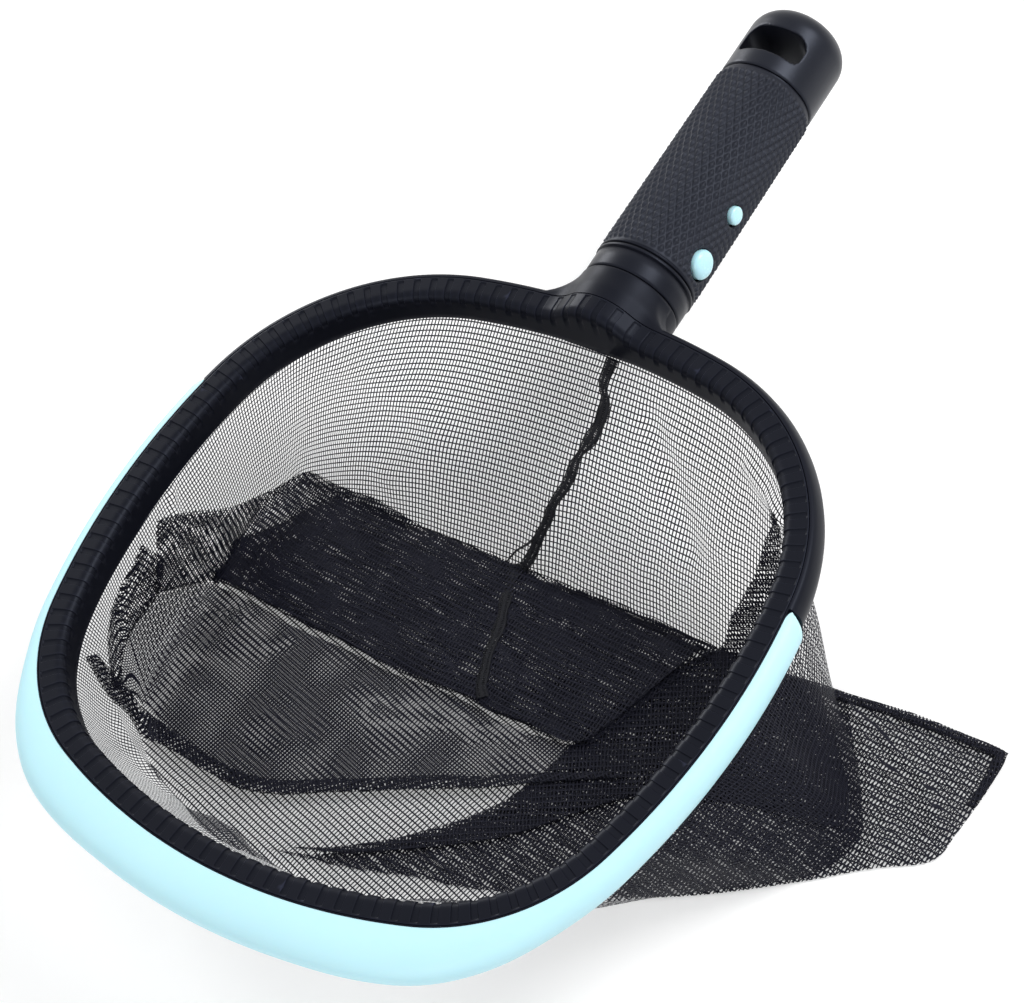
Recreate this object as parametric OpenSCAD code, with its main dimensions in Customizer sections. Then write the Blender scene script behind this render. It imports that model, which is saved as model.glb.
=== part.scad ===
// Leaf skimmer net for pools and spas.
// A moulded hoop carries a clip-in mesh bag and a soft scraper lip. Its short
// handle is a spigot for a telescopic pole, with two spring buttons and two
// lock pins on a clip inside the grip.
// Frame: origin on the seam between hoop and grip, on the grip's axis.
// +Y runs toward the end of the grip, +Z up, the hoop lies toward -Y.

/* [Hoop outline] */
// Half width of the hoop, to the joint between rim and lip
hoop_half_w = 113.8; // [110:0.1:118]
// Seam to the front of the hoop, to the same joint
hoop_front = 235.5; // [228:0.5:243]
// Seam to the rear of the hoop
hoop_rear = 14.7; // [13:0.1:18]
// Seam to the widest line of the hoop
wide_line = 120.7; // [115:0.1:126]
// Radius of the front arc
front_r = 195.4; // [185:0.1:215]
// Radius of the two front corners
front_corner_r = 63.9; // [58:0.1:70]
// Radius of the two side arcs
side_r = 225.5; // [215:0.5:240]
// Radius of the two rear corners
rear_corner_r = 81; // [74:0.5:88]
// Radius of the rear arc
rear_r = 251; // [235:1:270]

/* [Hoop section] */
// Height of the hoop's top face above the grip axis at the seam
ring_top = 10.1; // [8:0.1:12]
// Height of the hoop moulding
hoop_h = 12.6; // [11.8:0.1:14]
// How far the rim bulges outside the joint line
rim_bulge = 3; // [2:0.1:4]
// Depth from the joint line to the snap ring's inner wall
ring_depth = 8.8; // [8.4:0.1:10]
// Thickness of the snap ring's top plate
plate_th = 2.6; // [2:0.1:3]
// Thickness of the snap ring's skirt
skirt_th = 1.6; // [1.2:0.1:1.8]
// Height of the snap ring's skirt, from the top face
skirt_h = 11.5; // [10:0.1:11.8]
// Radius of the rounded inner shoulder
shoulder_r = 3; // [1.5:0.1:4]
// Diameter of the cord that fills the groove
cord_d = 3; // [2.4:0.1:3.2]
// Thickness of the folded hem of the bag
hem_th = 0.5; // [0.3:0.05:0.6]

/* [Notches] */
// Number of notches round the snap ring
notch_count = 124; // [60:2:140]
// Width of one notch
notch_w = 2; // [1.2:0.1:2.6]
// Depth of one notch
notch_d = 0.9; // [0.5:0.1:1.4]
// Outer end of the notches, inside the joint line
notch_end = 1.3; // [1:0.1:2]

/* [Neck] */
// Radius of the neck and collar
neck_r = 17.6; // [17:0.1:19]
// Rise of the grip above the hoop's plane, degrees
handle_rise = 2.8; // [0:0.1:6]
// Radius of the saddle where the neck runs over the hoop
saddle_r = 18.4; // [18:0.1:20]
// Radius of the hollow between saddle and hoop
saddle_fillet = 14; // [8:0.5:18]
// Radius of the neck's flare in plan
flare_r = 14.5; // [10:0.5:16]

/* [Scraper lip] */
// Width of the lip at the front
lip_front_w = 14.4; // [11:0.1:17]
// Width of the lip along the sides
lip_side_w = 6.2; // [5:0.1:8]
// Height of the lip
lip_h = 12; // [10:0.1:13]
// Angle on the side arc where the lip ends
lip_end_a = 7.8; // [3:0.1:8]

/* [Bag] */
// Depth of the bag below the grip axis
bag_depth = 62; // [50:1:75]
// Thickness of the bag's wall
bag_th = 1.2; // [1:0.1:2]
// Seam of the grip to the fold along the back of the bag floor
bag_back = 76; // [70:1:82]
// Reach of the bag's tail to the side
tail_reach = 166; // [150:1:180]
// Thickness of the flat tail
tail_th = 5; // [3:0.5:6]
// Seam of the grip to the front end of the bag's centre seam
seam_end = 121; // [110:1:130]
// Reach of the hem along the back to the other side
hem_left = 108; // [100:1:110]

/* [Grip] */
// Radius of the grip sleeve at the collar end
sleeve_r = 18.3; // [17.9:0.1:19.5]
// Radius of the grip sleeve at the cap end
sleeve_r2 = 18; // [17.8:0.1:19]
// Length of the grip core, from the seam
grip_len = 88; // [86:0.5:100]
// Length of the plain collar
collar_len = 6.5; // [5:0.1:8]
// Wall of the grip core
core_wall = 1.7; // [1.4:0.1:1.8]
// Outer radius of the spigot tube
spigot_r = 15; // [14.4:0.1:15.1]
// Wall of the spigot tube
spigot_wall = 2.5; // [2:0.1:3]

/* [End cap] */
// Radius of the end cap
cap_r = 17.4; // [16.8:0.1:18]
// Length of the end cap beyond the grip
cap_len = 30; // [28:0.5:36]
// Rounding of the end cap
cap_round = 9; // [6:0.5:11]
// Width of the hanging slot
slot_w = 23; // [16:0.5:24]
// Length of the hanging slot
slot_len = 10.7; // [8:0.1:13]
// Distance from the grip's end to the slot
slot_in = 7; // [6:0.1:8]

/* [Spring clip] */
// Place of the press buttons along the grip
button_y = 17.7; // [15.5:0.1:22]
// Diameter of the press buttons
button_d = 10; // [8:0.1:11]
// Place of the lock pins along the grip
pin_y = 39.2; // [35:0.1:44]
// Diameter of the lock pins
pin_d = 6.3; // [5:0.1:7]
// How far the press buttons stand above the grip axis
button_reach = 19.2; // [18.8:0.1:21]
// How far the lock pins stand above the grip axis
pin_reach = 18.8; // [18.5:0.1:20.5]
// Distance of the clip's bend from the grip's end
hinge_in = 8; // [7:0.5:12]
// Distance of the clip's legs from the axis
leg_x = 9.5; // [8.5:0.1:10]
// Turn of the clip about the grip axis, right side up, degrees
clip_roll = 8; // [0:0.5:12]
// Thickness of the clip's strip
leg_th = 1.2; // [0.8:0.1:1.4]
// Width of the clip's strip
leg_w = 6; // [4:0.1:8]

/* [Hidden] */
seat = 0.15;
gap = 0.3;
arc_fn = 240;
black = [0.09, 0.09, 0.1];
graphite = [0.2, 0.2, 0.21];
pale_aqua = [0.7, 0.91, 0.95];
sky = [0.55, 0.8, 0.93];
mesh_black = [0.12, 0.12, 0.13];
alloy = [0.7, 0.71, 0.73];

// Centres and limits of the tangent arcs on the right half of the outline.
function meet(a, ra, b, rb, side) =
  let (d = norm(b - a), e = (b - a) / d)
  let (m = (ra * ra - rb * rb + d * d) / (2 * d), h = sqrt(ra * ra - m * m))
  a + e * m + side * h * [-e[1], e[0]];
function bearing(a, b) = atan2(b[1] - a[1], b[0] - a[0]);
front_c = [0, front_r - hoop_front];
side_c = [hoop_half_w - side_r, -wide_line];
rear_c = [0, -hoop_rear - rear_r];
corner_c = meet(front_c, front_r - front_corner_r, side_c, side_r - front_corner_r, 1);
back_c = meet(rear_c, rear_r - rear_corner_r, side_c, side_r - rear_corner_r, -1);
a_front = bearing(front_c, corner_c);
a_side = bearing(side_c, corner_c);
a_back = bearing(side_c, back_c);
a_rear = bearing(rear_c, back_c);
ARCS = [[front_c, front_r, -90, a_front], [corner_c, front_corner_r, a_front, a_side],
  [side_c, side_r, a_side, a_back], [back_c, rear_corner_r, a_back, a_rear],
  [rear_c, rear_r, a_rear, 90]];
// Index of the arc that faces a bearing, and the point on the outline there.
function arc_of(a) = a < a_front ? 0 : a < a_side ? 1 : a < a_back ? 2 : a < a_rear ? 3 : 4;
function rim_pt(a, off) = let (k = ARCS[arc_of(a)]) k[0] + (k[1] + off) * [cos(a), sin(a)];
function flip(p) = [-p[0], p[1]];
function reversed(l) = [for (i = [len(l) - 1 : -1 : 0]) l[i]];
function half_line(off, n) = [for (k = ARCS, i = [0 : n - 1])
  k[0] + (k[1] + off) * [cos(k[2] + (k[3] - k[2]) * (i + 0.5) / n),
    sin(k[2] + (k[3] - k[2]) * (i + 0.5) / n)]];
function closed_line(off, n) = let (h = half_line(off, n), m = len(h))
  concat(h, [for (i = [m - 1 : -1 : 0]) flip(h[i])]);
function arc_pts(c, r, a0, a1, n) = [for (i = [0 : n])
  c + r * [cos(a0 + (a1 - a0) * i / n), sin(a0 + (a1 - a0) * i / n)]];

// Section levels, measured down from the top face.
inner_u = -ring_depth;
skirt_u = inner_u + skirt_th;
wall_u = skirt_u + 0.8;
hem_u = (skirt_u + wall_u - hem_th) / 2;
plate_u = -0.7;
hem_z = -plate_th - seat;
web_z = hem_z - hem_th - seat - cord_d - seat;
cord_u = -4;
groove = [cord_u - cord_d / 2 - 0.1, cord_u + cord_d / 2 + 0.1];
channel = [-5.2, -1.8];
channel_z = web_z - 1.5;
bag_u = hem_u;
bag_top = ring_top - hoop_h + gap;
core_in = spigot_r + 0.25;
core_r = core_in + core_wall;
saddle_drop = sin(handle_rise) * (hoop_rear + 4);
saddle_top_z = ring_top + saddle_drop + saddle_fillet;
saddle_c = [sqrt(pow(saddle_r + saddle_fillet, 2) - pow(saddle_top_z, 2)), saddle_top_z];
hinge_y = grip_len - hinge_in;

module turn(k, from, to) {
  translate([k[0][0], k[0][1], ring_top])
    rotate_extrude(start = from, angle = to - from, $fn = arc_fn)
      translate([k[1], 0])
        children();
}
module both() {
  children();
  mirror([1, 0, 0])
    children();
}
// Stations along the outline: counts on the front, corner, side, rear corner, rear.
STEPS = [6, 10, 8, 12, 4];
half_stations = concat([for (k = [0 : 4], i = [0 : STEPS[k] - 1])
  ARCS[k][2] + (ARCS[k][3] - ARCS[k][2]) * i / STEPS[k]], [90]);
function with_stop(l, a) = concat([for (x = l) if (x < a - 0.3) x], [a, a + 0.06],
  [for (x = l) if (x > a + 0.3) x]);
function around(l) = concat([for (a = l) [a, 1]], [for (i = [len(l) - 2 : -1 : 1]) [l[i], -1]]);
// Sweeps a closed section right round the hoop. The list sec2 serves up to the stop.
module sweep(sec, stations, sec2 = [], stop = -91) {
  m = len(sec);
  n = len(stations);
  polyhedron(points = [for (st = stations, q = (st[0] <= stop ? sec2 : sec))
    let (p = rim_pt(st[0], q[0])) [st[1] * p[0], p[1], ring_top + q[1]]],
    faces = [for (i = [0 : n - 1], j = [0 : m - 1], h = [0, 1])
      let (a = i * m, b = ((i + 1) % n) * m, k = (j + 1) % m)
      h == 0 ? [a + j, a + k, b + k] : [a + j, b + k, b + j]], convexity = 10);
}
// Places a shape on the grip's axis, with its own z along the axis.
module on_grip(y) {
  rotate([handle_rise, 0, 0])
    translate([0, y, 0])
      rotate([-90, 0, 0])
        children();
}

// ---- Hoop frame ----
inner_wall = [[channel[1], -hoop_h], [channel[1], channel_z], [channel[0], channel_z],
  [channel[0], -hoop_h], [wall_u, -hoop_h], [wall_u, hem_z - hem_th - seat],
  [groove[0], hem_z - hem_th - seat], [groove[0], web_z], [groove[1], web_z],
  [groove[1], hem_z], [plate_u + seat, hem_z], [plate_u + seat, 0]];
rim_section = concat([[0, 0], [0.95, -0.6], [rim_bulge * 0.8, -3], [rim_bulge, -6],
  [rim_bulge * 0.8, -hoop_h * 0.75], [rim_bulge * 0.3, -hoop_h + 0.6], [-0.6, -hoop_h]],
  inner_wall);
lip_seat_section = concat([for (z = [0, 0.1, 0.3, 0.5, 0.7, 0.9, 1]) [-seat, -hoop_h * z]],
  inner_wall);
module saddle_shape(in) {
  difference() {
    union() {
      circle(r = saddle_r - in, $fn = 96);
      translate([-saddle_c[0], -2])
        square([saddle_c[0] * 2, saddle_c[1] + 2 - saddle_fillet * 0.5]);
    }
    for (s = [-1, 1])
      translate([s * saddle_c[0], saddle_c[1]])
        circle(r = saddle_fillet + in, $fn = 96);
    translate([-60, saddle_c[1] * (saddle_r - in) / (saddle_r + saddle_fillet)])
      difference() {
        square([120, 30]);
        translate([60, -saddle_c[1] * (saddle_r - in) / (saddle_r + saddle_fillet)])
          circle(r = saddle_r - in, $fn = 96);
      }
  }
}
module saddle_bar(in, y0, y1) {
  translate([0, y1, -saddle_drop])
    rotate([90, 0, 0])
      linear_extrude(height = y1 - y0)
        saddle_shape(in);
}
// Trumpet that widens the neck into the rim, on the grip's axis. It starts at the neck's face.
neck_face = -2;
trumpet_y = -1.3;
trumpet = [for (i = [1 : 9]) let (y = -i * flare_r * 0.98 / 9)
  [neck_r + flare_r - sqrt(flare_r * flare_r - y * y), trumpet_y + y]];
module trumpet_form() {
  on_grip(0)
    rotate_extrude($fn = 96)
      polygon(concat([[0, neck_face - 0.05], [neck_r + 0.02, neck_face - 0.05]], trumpet,
        [[trumpet[8][0], -hoop_rear - 12], [0, -hoop_rear - 12]]));
}
socket_y = -10;
module neck() {
  difference() {
    union() {
      on_grip(-hoop_rear - 12)
        cylinder(r = neck_r, h = hoop_rear + 12 + neck_face, $fn = 96);
      intersection() {
        trumpet_form();
        union() {
          translate([0, 0, -0.06])
            saddle_bar(0, -hoop_rear - 12, -1);
          translate([-36, -hoop_rear - 11, -20])
            cube([72, hoop_rear + 8, ring_top - 0.06 + 20]);
        }
        translate([-60, -hoop_rear - 20, ring_top - hoop_h + 0.1])
          cube([120, 60, hoop_h + 12]);
      }
    }
    translate([0, rear_c[1], ring_top + web_z - 0.7])
      cylinder(r = rear_r + plate_u + seat + 0.2, h = 40, $fn = arc_fn * 2);
    translate([0, rear_c[1], -60])
      cylinder(r = rear_r + wall_u + 0.3, h = 120, $fn = arc_fn * 2);
    translate([0, -8.5, -neck_r])
      rotate([43.4, 0, 0])
        translate([-60, -60, -60])
          cube([120, 60, 60]);
    on_grip(socket_y)
      cylinder(r = spigot_r + 0.1, h = 30, $fn = 96);
  }
}
module frame() {
  color(black) {
    sweep(reversed(rim_section), around(with_stop(half_stations, lip_end_a)),
      reversed(lip_seat_section), lip_end_a);
    neck();
  }
}

// ---- Snap ring with its notches ----
ring_section = concat([[plate_u, 0]],
  arc_pts([inner_u + shoulder_r, -shoulder_r], shoulder_r, 90, 180, 3),
  [[inner_u, -skirt_h], [skirt_u, -skirt_h], [skirt_u, -plate_th], [plate_u, -plate_th]]);
NOTCH_LEN = [for (k = ARCS) (k[1] - notch_end) * (k[3] - k[2]) * PI / 180];
half_len = NOTCH_LEN[0] + NOTCH_LEN[1] + NOTCH_LEN[2] + NOTCH_LEN[3] + NOTCH_LEN[4];
function notch_at(s, i = 0) = (i == 4 || s <= NOTCH_LEN[i]) ?
  [i, ARCS[i][2] + s / (ARCS[i][1] - notch_end) * 180 / PI] : notch_at(s - NOTCH_LEN[i], i + 1);
module notches() {
  both()
    for (i = [0 : notch_count / 2 - 1])
      let (p = notch_at((i + 0.5) * half_len / (notch_count / 2)), k = ARCS[p[0]])
        translate([k[0][0], k[0][1], ring_top - notch_d])
          rotate([0, 0, p[1]])
            translate([k[1] - notch_end - notch_w / 2, 0, 0]) {
              cylinder(d = notch_w, h = 20, $fn = 24);
              translate([-ring_depth, -notch_w / 2, 0])
                cube([ring_depth, notch_w, 20]);
            }
}
module saddle_top() {
  intersection() {
    saddle_bar(0, -hoop_rear - ring_depth - 4, -hoop_rear + 2);
    turn(ARCS[4], a_rear, 180 - a_rear)
      polygon([[plate_u - 0.1, 0.1 - plate_th], [plate_u - 0.1, 12], [inner_u + 3, 12],
        [inner_u + 0.1, 5.5], [inner_u + 0.1, -shoulder_r - 1], [skirt_u - 0.1, -shoulder_r - 1],
        [skirt_u - 0.1, 0.1 - plate_th]]);
  }
}
module retaining_ring() {
  color(graphite)
    difference() {
      union() {
        sweep(ring_section, around(half_stations));
        saddle_top();
      }
      difference() {
        notches();
        saddle_bar(notch_d, -hoop_rear - 14, 2);
      }
    }
}

// ---- Scraper lip ----
// Share of the front width along the outline, by bearing.
LIP_SHARE = [[-90, 1], [-80, 1.02], [-75, 1.1], [-70, 1.06], [-60, 0.79], [-52, 0.57],
  [-43, 0.25], [-34, -0.02], [-24, -0.12], [-15, -0.1], [-5, 0], [10, 0]];
lip_round = 4;
function lip_full(a) = lip_side_w + (lip_front_w - lip_side_w) * lookup(a, LIP_SHARE);
function lip_w(a) = let (d = (lip_end_a - a) * side_r * PI / 180)
  d >= lip_round ? lip_full(a) :
  lip_full(a) - lip_round + sqrt(max(0.2, lip_round * lip_round - pow(lip_round - d, 2)));
half_st = concat([for (i = [0 : 23]) -90 + i * (a_side + 90) / 24],
  [for (i = [0 : 8]) a_side + i * (lip_end_a - 1.1 - a_side) / 9],
  [for (i = [0 : 4]) lip_end_a - 1.02 * cos(i * 90 / 4)]);
lip_st = concat([for (i = [len(half_st) - 1 : -1 : 1]) [half_st[i], -1]], [for (a = half_st) [a, 1]]);
LIP_SEC = [[0, 0], [0.5, -0.03], [0.8, -0.13], [0.95, -0.27], [1, -0.42], [0.985, -0.6],
  [0.9, -0.8], [0.72, -0.95], [0.5, -1], [0, -1]];
lip_pts = [for (st = lip_st, q = LIP_SEC) let (p = rim_pt(st[0], q[0] * lip_w(st[0])))
  [st[1] * p[0], p[1], ring_top - 0.2 + q[1] * lip_h]];
module scraper_lip() {
  m = len(LIP_SEC);
  n = len(lip_st);
  color(pale_aqua)
    polyhedron(points = lip_pts, faces = concat(
      [[for (j = [0 : m - 1]) j]],
      [for (i = [0 : n - 2], j = [0 : m - 1]) let (k = (j + 1) % m)
        [i * m + j, (i + 1) * m + j, (i + 1) * m + k]],
      [for (i = [0 : n - 2], j = [0 : m - 1]) let (k = (j + 1) % m)
        [i * m + j, (i + 1) * m + k, i * m + k]],
      [[for (j = [m - 1 : -1 : 0]) (n - 1) * m + j]]), convexity = 8);
}

// ---- Cord and hem in the groove ----
module mouth_cord() {
  color(graphite)
    sweep([for (i = [0 : 7]) [cord_u, web_z + seat / 2 + cord_d / 2]
      + cord_d / 2 * [cos(i * 45 + 22.5), sin(i * 45 + 22.5)]], around(half_stations));
}
module mouth_hem() {
  color(mesh_black)
    sweep([[hem_u, hem_z], [hem_u, -hoop_h + gap + 0.1], [hem_u + hem_th, -hoop_h + gap + 0.1],
      [hem_u + hem_th, hem_z - hem_th], [groove[1] - 0.2, hem_z - hem_th], [groove[1] - 0.2, hem_z]],
      around(half_stations));
}

// ---- Mesh bag ----
floor_z = -bag_depth;
bag_back_y = -bag_back;
bag_floor = [[-110, bag_back_y], [100, bag_back_y], [92, -120], [80, -168], [40, -185],
  [-49, -190], [-95, -165], [-108, -120]];
function shrink(p, t) = let (c = [0, -130]) c + (p - c) * (1 - t / 90);
module bag_form(t, z0, z1) {
  hull() {
    translate([0, 0, z1 - 1])
      linear_extrude(height = 1)
        polygon(closed_line(bag_u - t, 6));
    translate([0, 0, z0])
      linear_extrude(height = 0.5)
        polygon([for (p = bag_floor) shrink(p, t)]);
  }
}
bag_rim_z = bag_top - gap - 0.1;
module bag_body() {
  color(mesh_black)
    difference() {
      bag_form(0, floor_z, bag_rim_z);
      bag_form(bag_th, floor_z + bag_th, bag_rim_z + 0.01);
    }
}
// Outline of the tail, in shares of its reach and of the back fold's distance.
TAIL = [[0.512, 1], [1, 0.987], [0.994, 1.158], [0.958, 1.408], [0.892, 1.632], [0.777, 1.816],
  [0.687, 1.947], [0.596, 2.066], [0.524, 2.158], [0.47, 2.184], [0.422, 1.974]];
module bag_tail() {
  color(mesh_black)
    difference() {
      translate([0, 0, floor_z])
        linear_extrude(height = tail_th)
          polygon([for (p = TAIL) [p[0] * tail_reach, p[1] * bag_back_y]]);
      bag_form(-gap, floor_z - 1, bag_rim_z);
    }
}
module bag_seam() {
  y0 = rear_c[1] + rear_r + bag_u - bag_th - 1;
  y1 = bag_back_y - bag_th;
  z0 = bag_rim_z - 1;
  z1 = floor_z + bag_th + gap;
  color(graphite)
    rotate([90, 0, 90])
      translate([0, 0, -1.5])
        linear_extrude(height = 3)
          polygon([[y0, z0], [y1 - 0.5, z1], [-seam_end, z1], [-seam_end, z1 + 1.2],
            [y1 - 1.2, z1 + 1.2], [y0 - 1.6, z0]]);
}
module tail_hem() {
  color(graphite)
    translate([-hem_left, bag_back_y + 2.3, floor_z])
      cube([tail_reach - 2 + hem_left, 3, 2]);
}

// ---- Grip ----
module side_holes(r_pin, r_button, from) {
  for (s = [-1, 1])
    clip_frame()
      rotate([0, s * 90, 0])
        for (d = [0, 0.8]) {
          translate([0, pin_y - d, from])
            cylinder(r = r_pin, h = 30, $fn = 48);
          translate([0, button_y - d, from])
            cylinder(r = r_button, h = 30, $fn = 48);
        }
}
pin_hole = pin_d / 2 + 0.5;
button_hole = button_d / 2 + 0.5;
module spigot_tube() {
  color(alloy)
    difference() {
      on_grip(socket_y + 0.1)
        cylinder(r = spigot_r, h = grip_len - 4 - socket_y, $fn = 96);
      on_grip(socket_y - 1)
        cylinder(r = spigot_r - spigot_wall, h = 200, $fn = 96);
      side_holes(pin_hole, button_hole, 5);
    }
}
module grip_core() {
  color(black)
    difference() {
      on_grip(0)
        rotate_extrude($fn = 96)
          polygon([[core_in, -1.6], [neck_r - 0.5, -1.6], [neck_r, -1.1], [neck_r, collar_len - 0.6],
            [neck_r - 0.7, collar_len - 0.3], [neck_r + 0.4, collar_len], [neck_r + 0.4, collar_len + 1],
            [neck_r - 0.6, collar_len + 1.2], [neck_r - 0.6, collar_len + 1.6],
            [neck_r + 0.4, collar_len + 1.8], [neck_r + 0.4, collar_len + 2.3],
            [core_r, collar_len + 2.4], [core_r, grip_len], [core_in, grip_len]]);
      side_holes(pin_hole, button_hole, 5);
    }
}
module grip_sleeve() {
  color(graphite)
    difference() {
      on_grip(collar_len + 2.5)
        cylinder(r1 = sleeve_r, r2 = sleeve_r2, h = grip_len - collar_len - 3, $fn = 96);
      on_grip(0)
        cylinder(r = core_r + 0.05, h = 200, $fn = 96);
      side_holes(pin_hole + 0.3, button_hole + 0.3, 5);
    }
}
module end_cap() {
  cap_end = grip_len + cap_len;
  slot_y = grip_len + slot_in;
  color(black)
    difference() {
      on_grip(0)
        rotate_extrude($fn = 96)
          polygon(concat([[core_in - 2, grip_len - 3], [core_in - 0.05, grip_len - 3],
            [core_in - 0.05, grip_len + gap], [cap_r - 0.4, grip_len + gap], [cap_r, grip_len + gap + 0.4]],
            arc_pts([cap_r - cap_round, cap_end - cap_round], cap_round, 0, 80, 8),
            [[0, cap_end + 0.4], [0, grip_len + 3], [core_in - 2, grip_len + 3]]));
      rotate([handle_rise, 0, 0])
        translate([0, 0, -30])
          linear_extrude(height = 60)
            union() {
              translate([-slot_w / 2 + 2.5, slot_y])
                square([slot_w - 5, slot_len - 2]);
              translate([-slot_w / 2, slot_y + 2.5])
                square([slot_w, slot_len - 8]);
              for (s = [-1, 1]) {
                translate([s * (slot_w / 2 - 2.5), slot_y + 2.5])
                  circle(r = 2.5, $fn = 32);
                translate([s * (slot_w / 2 - 6), slot_y + slot_len - 6])
                  circle(r = 6, $fn = 48);
              }
              translate([-slot_w / 2 + 6, slot_y + slot_len - 6])
                square([slot_w - 12, 6]);
            }
    }
}

// ---- Spring clip, legs, buttons and pins ----
module clip_frame() {
  rotate([handle_rise, 0, 0])
    rotate([0, -clip_roll, 0])
      children();
}
module clip_bow() {
  color(alloy)
    clip_frame()
      translate([0, hinge_y, -leg_w / 2])
        rotate_extrude(start = 0, angle = 180, $fn = 64)
          translate([leg_x - leg_th / 2, 0])
            square([leg_th, leg_w]);
}
module clip_leg(s) {
  color(alloy)
    clip_frame()
      translate([s * leg_x - leg_th / 2, button_y - 7, -leg_w / 2])
        cube([leg_th, hinge_y - button_y + 7 - 0.1, leg_w]);
}
// A pin with a domed end, from the leg outward along X.
module side_pin(s, y, d, reach, dome) {
  clip_frame()
    translate([0, y, 0])
      rotate([0, s * 90, 0])
        rotate_extrude($fn = 64)
          polygon(concat([[0, leg_x + leg_th / 2]], [[d / 2, leg_x + leg_th / 2]],
            [for (i = [0 : 5]) [d / 2 * cos(i * 16), reach - dome + dome * sin(i * 16)]],
            [[0, reach]]));
}
module press_button_right() { color(sky) side_pin(1, button_y, button_d, button_reach, 2.2); }
module press_button_left() { color(sky) side_pin(-1, button_y, button_d, button_reach, 2.2); }
module lock_pin_right() { color(sky) side_pin(1, pin_y, pin_d, pin_reach, 1.2); }
module lock_pin_left() { color(sky) side_pin(-1, pin_y, pin_d, pin_reach, 1.2); }

frame();
spigot_tube();
retaining_ring();
scraper_lip();
mouth_cord();
mouth_hem();
bag_body();
bag_tail();
bag_seam();
tail_hem();
grip_core();
grip_sleeve();
end_cap();
clip_bow();
clip_leg(1);  // clip_leg_right
clip_leg(-1);  // clip_leg_left
press_button_right();
press_button_left();
lock_pin_right();
lock_pin_left();
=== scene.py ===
import math

import bmesh
import bpy
import numpy as np
from mathutils import Matrix, Vector
from mathutils.bvhtree import BVHTree


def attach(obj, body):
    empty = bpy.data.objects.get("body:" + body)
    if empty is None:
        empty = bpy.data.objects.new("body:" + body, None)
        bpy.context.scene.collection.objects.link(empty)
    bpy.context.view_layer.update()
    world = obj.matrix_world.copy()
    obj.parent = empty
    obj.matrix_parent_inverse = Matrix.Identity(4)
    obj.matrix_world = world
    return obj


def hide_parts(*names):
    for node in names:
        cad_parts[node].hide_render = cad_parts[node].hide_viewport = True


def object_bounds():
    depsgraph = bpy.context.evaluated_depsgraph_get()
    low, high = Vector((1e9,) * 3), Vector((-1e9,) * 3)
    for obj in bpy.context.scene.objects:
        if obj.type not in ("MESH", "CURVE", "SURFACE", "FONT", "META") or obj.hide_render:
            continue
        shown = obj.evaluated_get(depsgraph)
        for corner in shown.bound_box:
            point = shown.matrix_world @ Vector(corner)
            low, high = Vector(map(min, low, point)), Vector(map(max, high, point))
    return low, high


bl_info = {
    "name": "Leaf Skimmer Net",
    "version": (1, 0, 0),
    "blender": (4, 5, 0),
    "location": "View3D > Sidebar > Skimmer",
    "description": "Builds the moulded, soft and woven surfaces of a leaf skimmer net",
    "category": "Object",
}

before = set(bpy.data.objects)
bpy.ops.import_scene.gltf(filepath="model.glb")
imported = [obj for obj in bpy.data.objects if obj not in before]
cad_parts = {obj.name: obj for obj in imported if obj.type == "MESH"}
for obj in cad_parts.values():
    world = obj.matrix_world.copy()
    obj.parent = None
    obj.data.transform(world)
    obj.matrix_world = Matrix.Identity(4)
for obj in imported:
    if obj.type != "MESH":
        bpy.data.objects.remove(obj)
FRAME_LOW, FRAME_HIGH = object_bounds()
MM = 0.001
TURN = 2 * math.pi


def length(label, about, millimetres):
    """A length that a user may set, given in millimetres."""
    return bpy.props.FloatProperty(
        name=label,
        description=about,
        default=millimetres * MM,
        min=0.0,
        max=0.5,
        precision=5,
        subtype="DISTANCE",
        unit="LENGTH",
    )


def angle(label, about, degrees):
    """An angle that a user may set, given in degrees."""
    return bpy.props.FloatProperty(
        name=label,
        description=about,
        default=math.radians(degrees),
        min=-math.pi,
        max=math.pi,
        subtype="ANGLE",
        unit="ROTATION",
    )


def colour(label, about, red, green, blue):
    """A colour that a user may set."""
    return bpy.props.FloatVectorProperty(
        name=label,
        description=about,
        default=(red, green, blue),
        min=0.0,
        max=1.0,
        size=3,
        subtype="COLOR",
    )


# ---------------------------------------------------------------- settings


class SkimmerHoopSettings(bpy.types.PropertyGroup):
    """Sizes and colours of the hoop moulding and its snap ring."""

    half_width: length("Half Width", "Half width of the hoop, to the joint with the lip", 113.8)
    front_reach: length("Front Reach", "From the grip seam to the front joint", 235.5)
    rear_reach: length("Rear Reach", "From the grip seam to the rear of the hoop", 14.7)
    wide_line: length("Wide Line", "From the grip seam to the widest line", 120.7)
    front_radius: length("Front Radius", "Radius of the front arc", 195.4)
    corner_radius: length("Corner Radius", "Radius of the front corners", 63.9)
    side_radius: length("Side Radius", "Radius of the side arcs", 225.5)
    rear_corner_radius: length("Rear Corner Radius", "Radius of the rear corners", 81.0)
    rear_radius: length("Rear Radius", "Radius of the rear arc", 251.0)
    top: length("Top Height", "Height of the hoop's top face above the origin", 10.1)
    ring_depth: length("Ring Depth", "From the joint line to the ring's inner wall", 8.8)
    shoulder: length("Shoulder Radius", "Radius of the ring's inner shoulder", 3.0)
    notch_count: bpy.props.IntProperty(
        name="Notches", description="Number of notches round the ring", default=124, min=8
    )
    notch_width: length("Notch Width", "Width of one notch", 2.3)
    notch_depth: length("Notch Depth", "Depth of one notch", 0.42)
    moulding: colour("Moulding", "Colour of the hoop moulding", 0.0045, 0.005, 0.0085)
    ring: colour("Ring", "Colour of the snap ring", 0.0045, 0.005, 0.0085)


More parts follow.
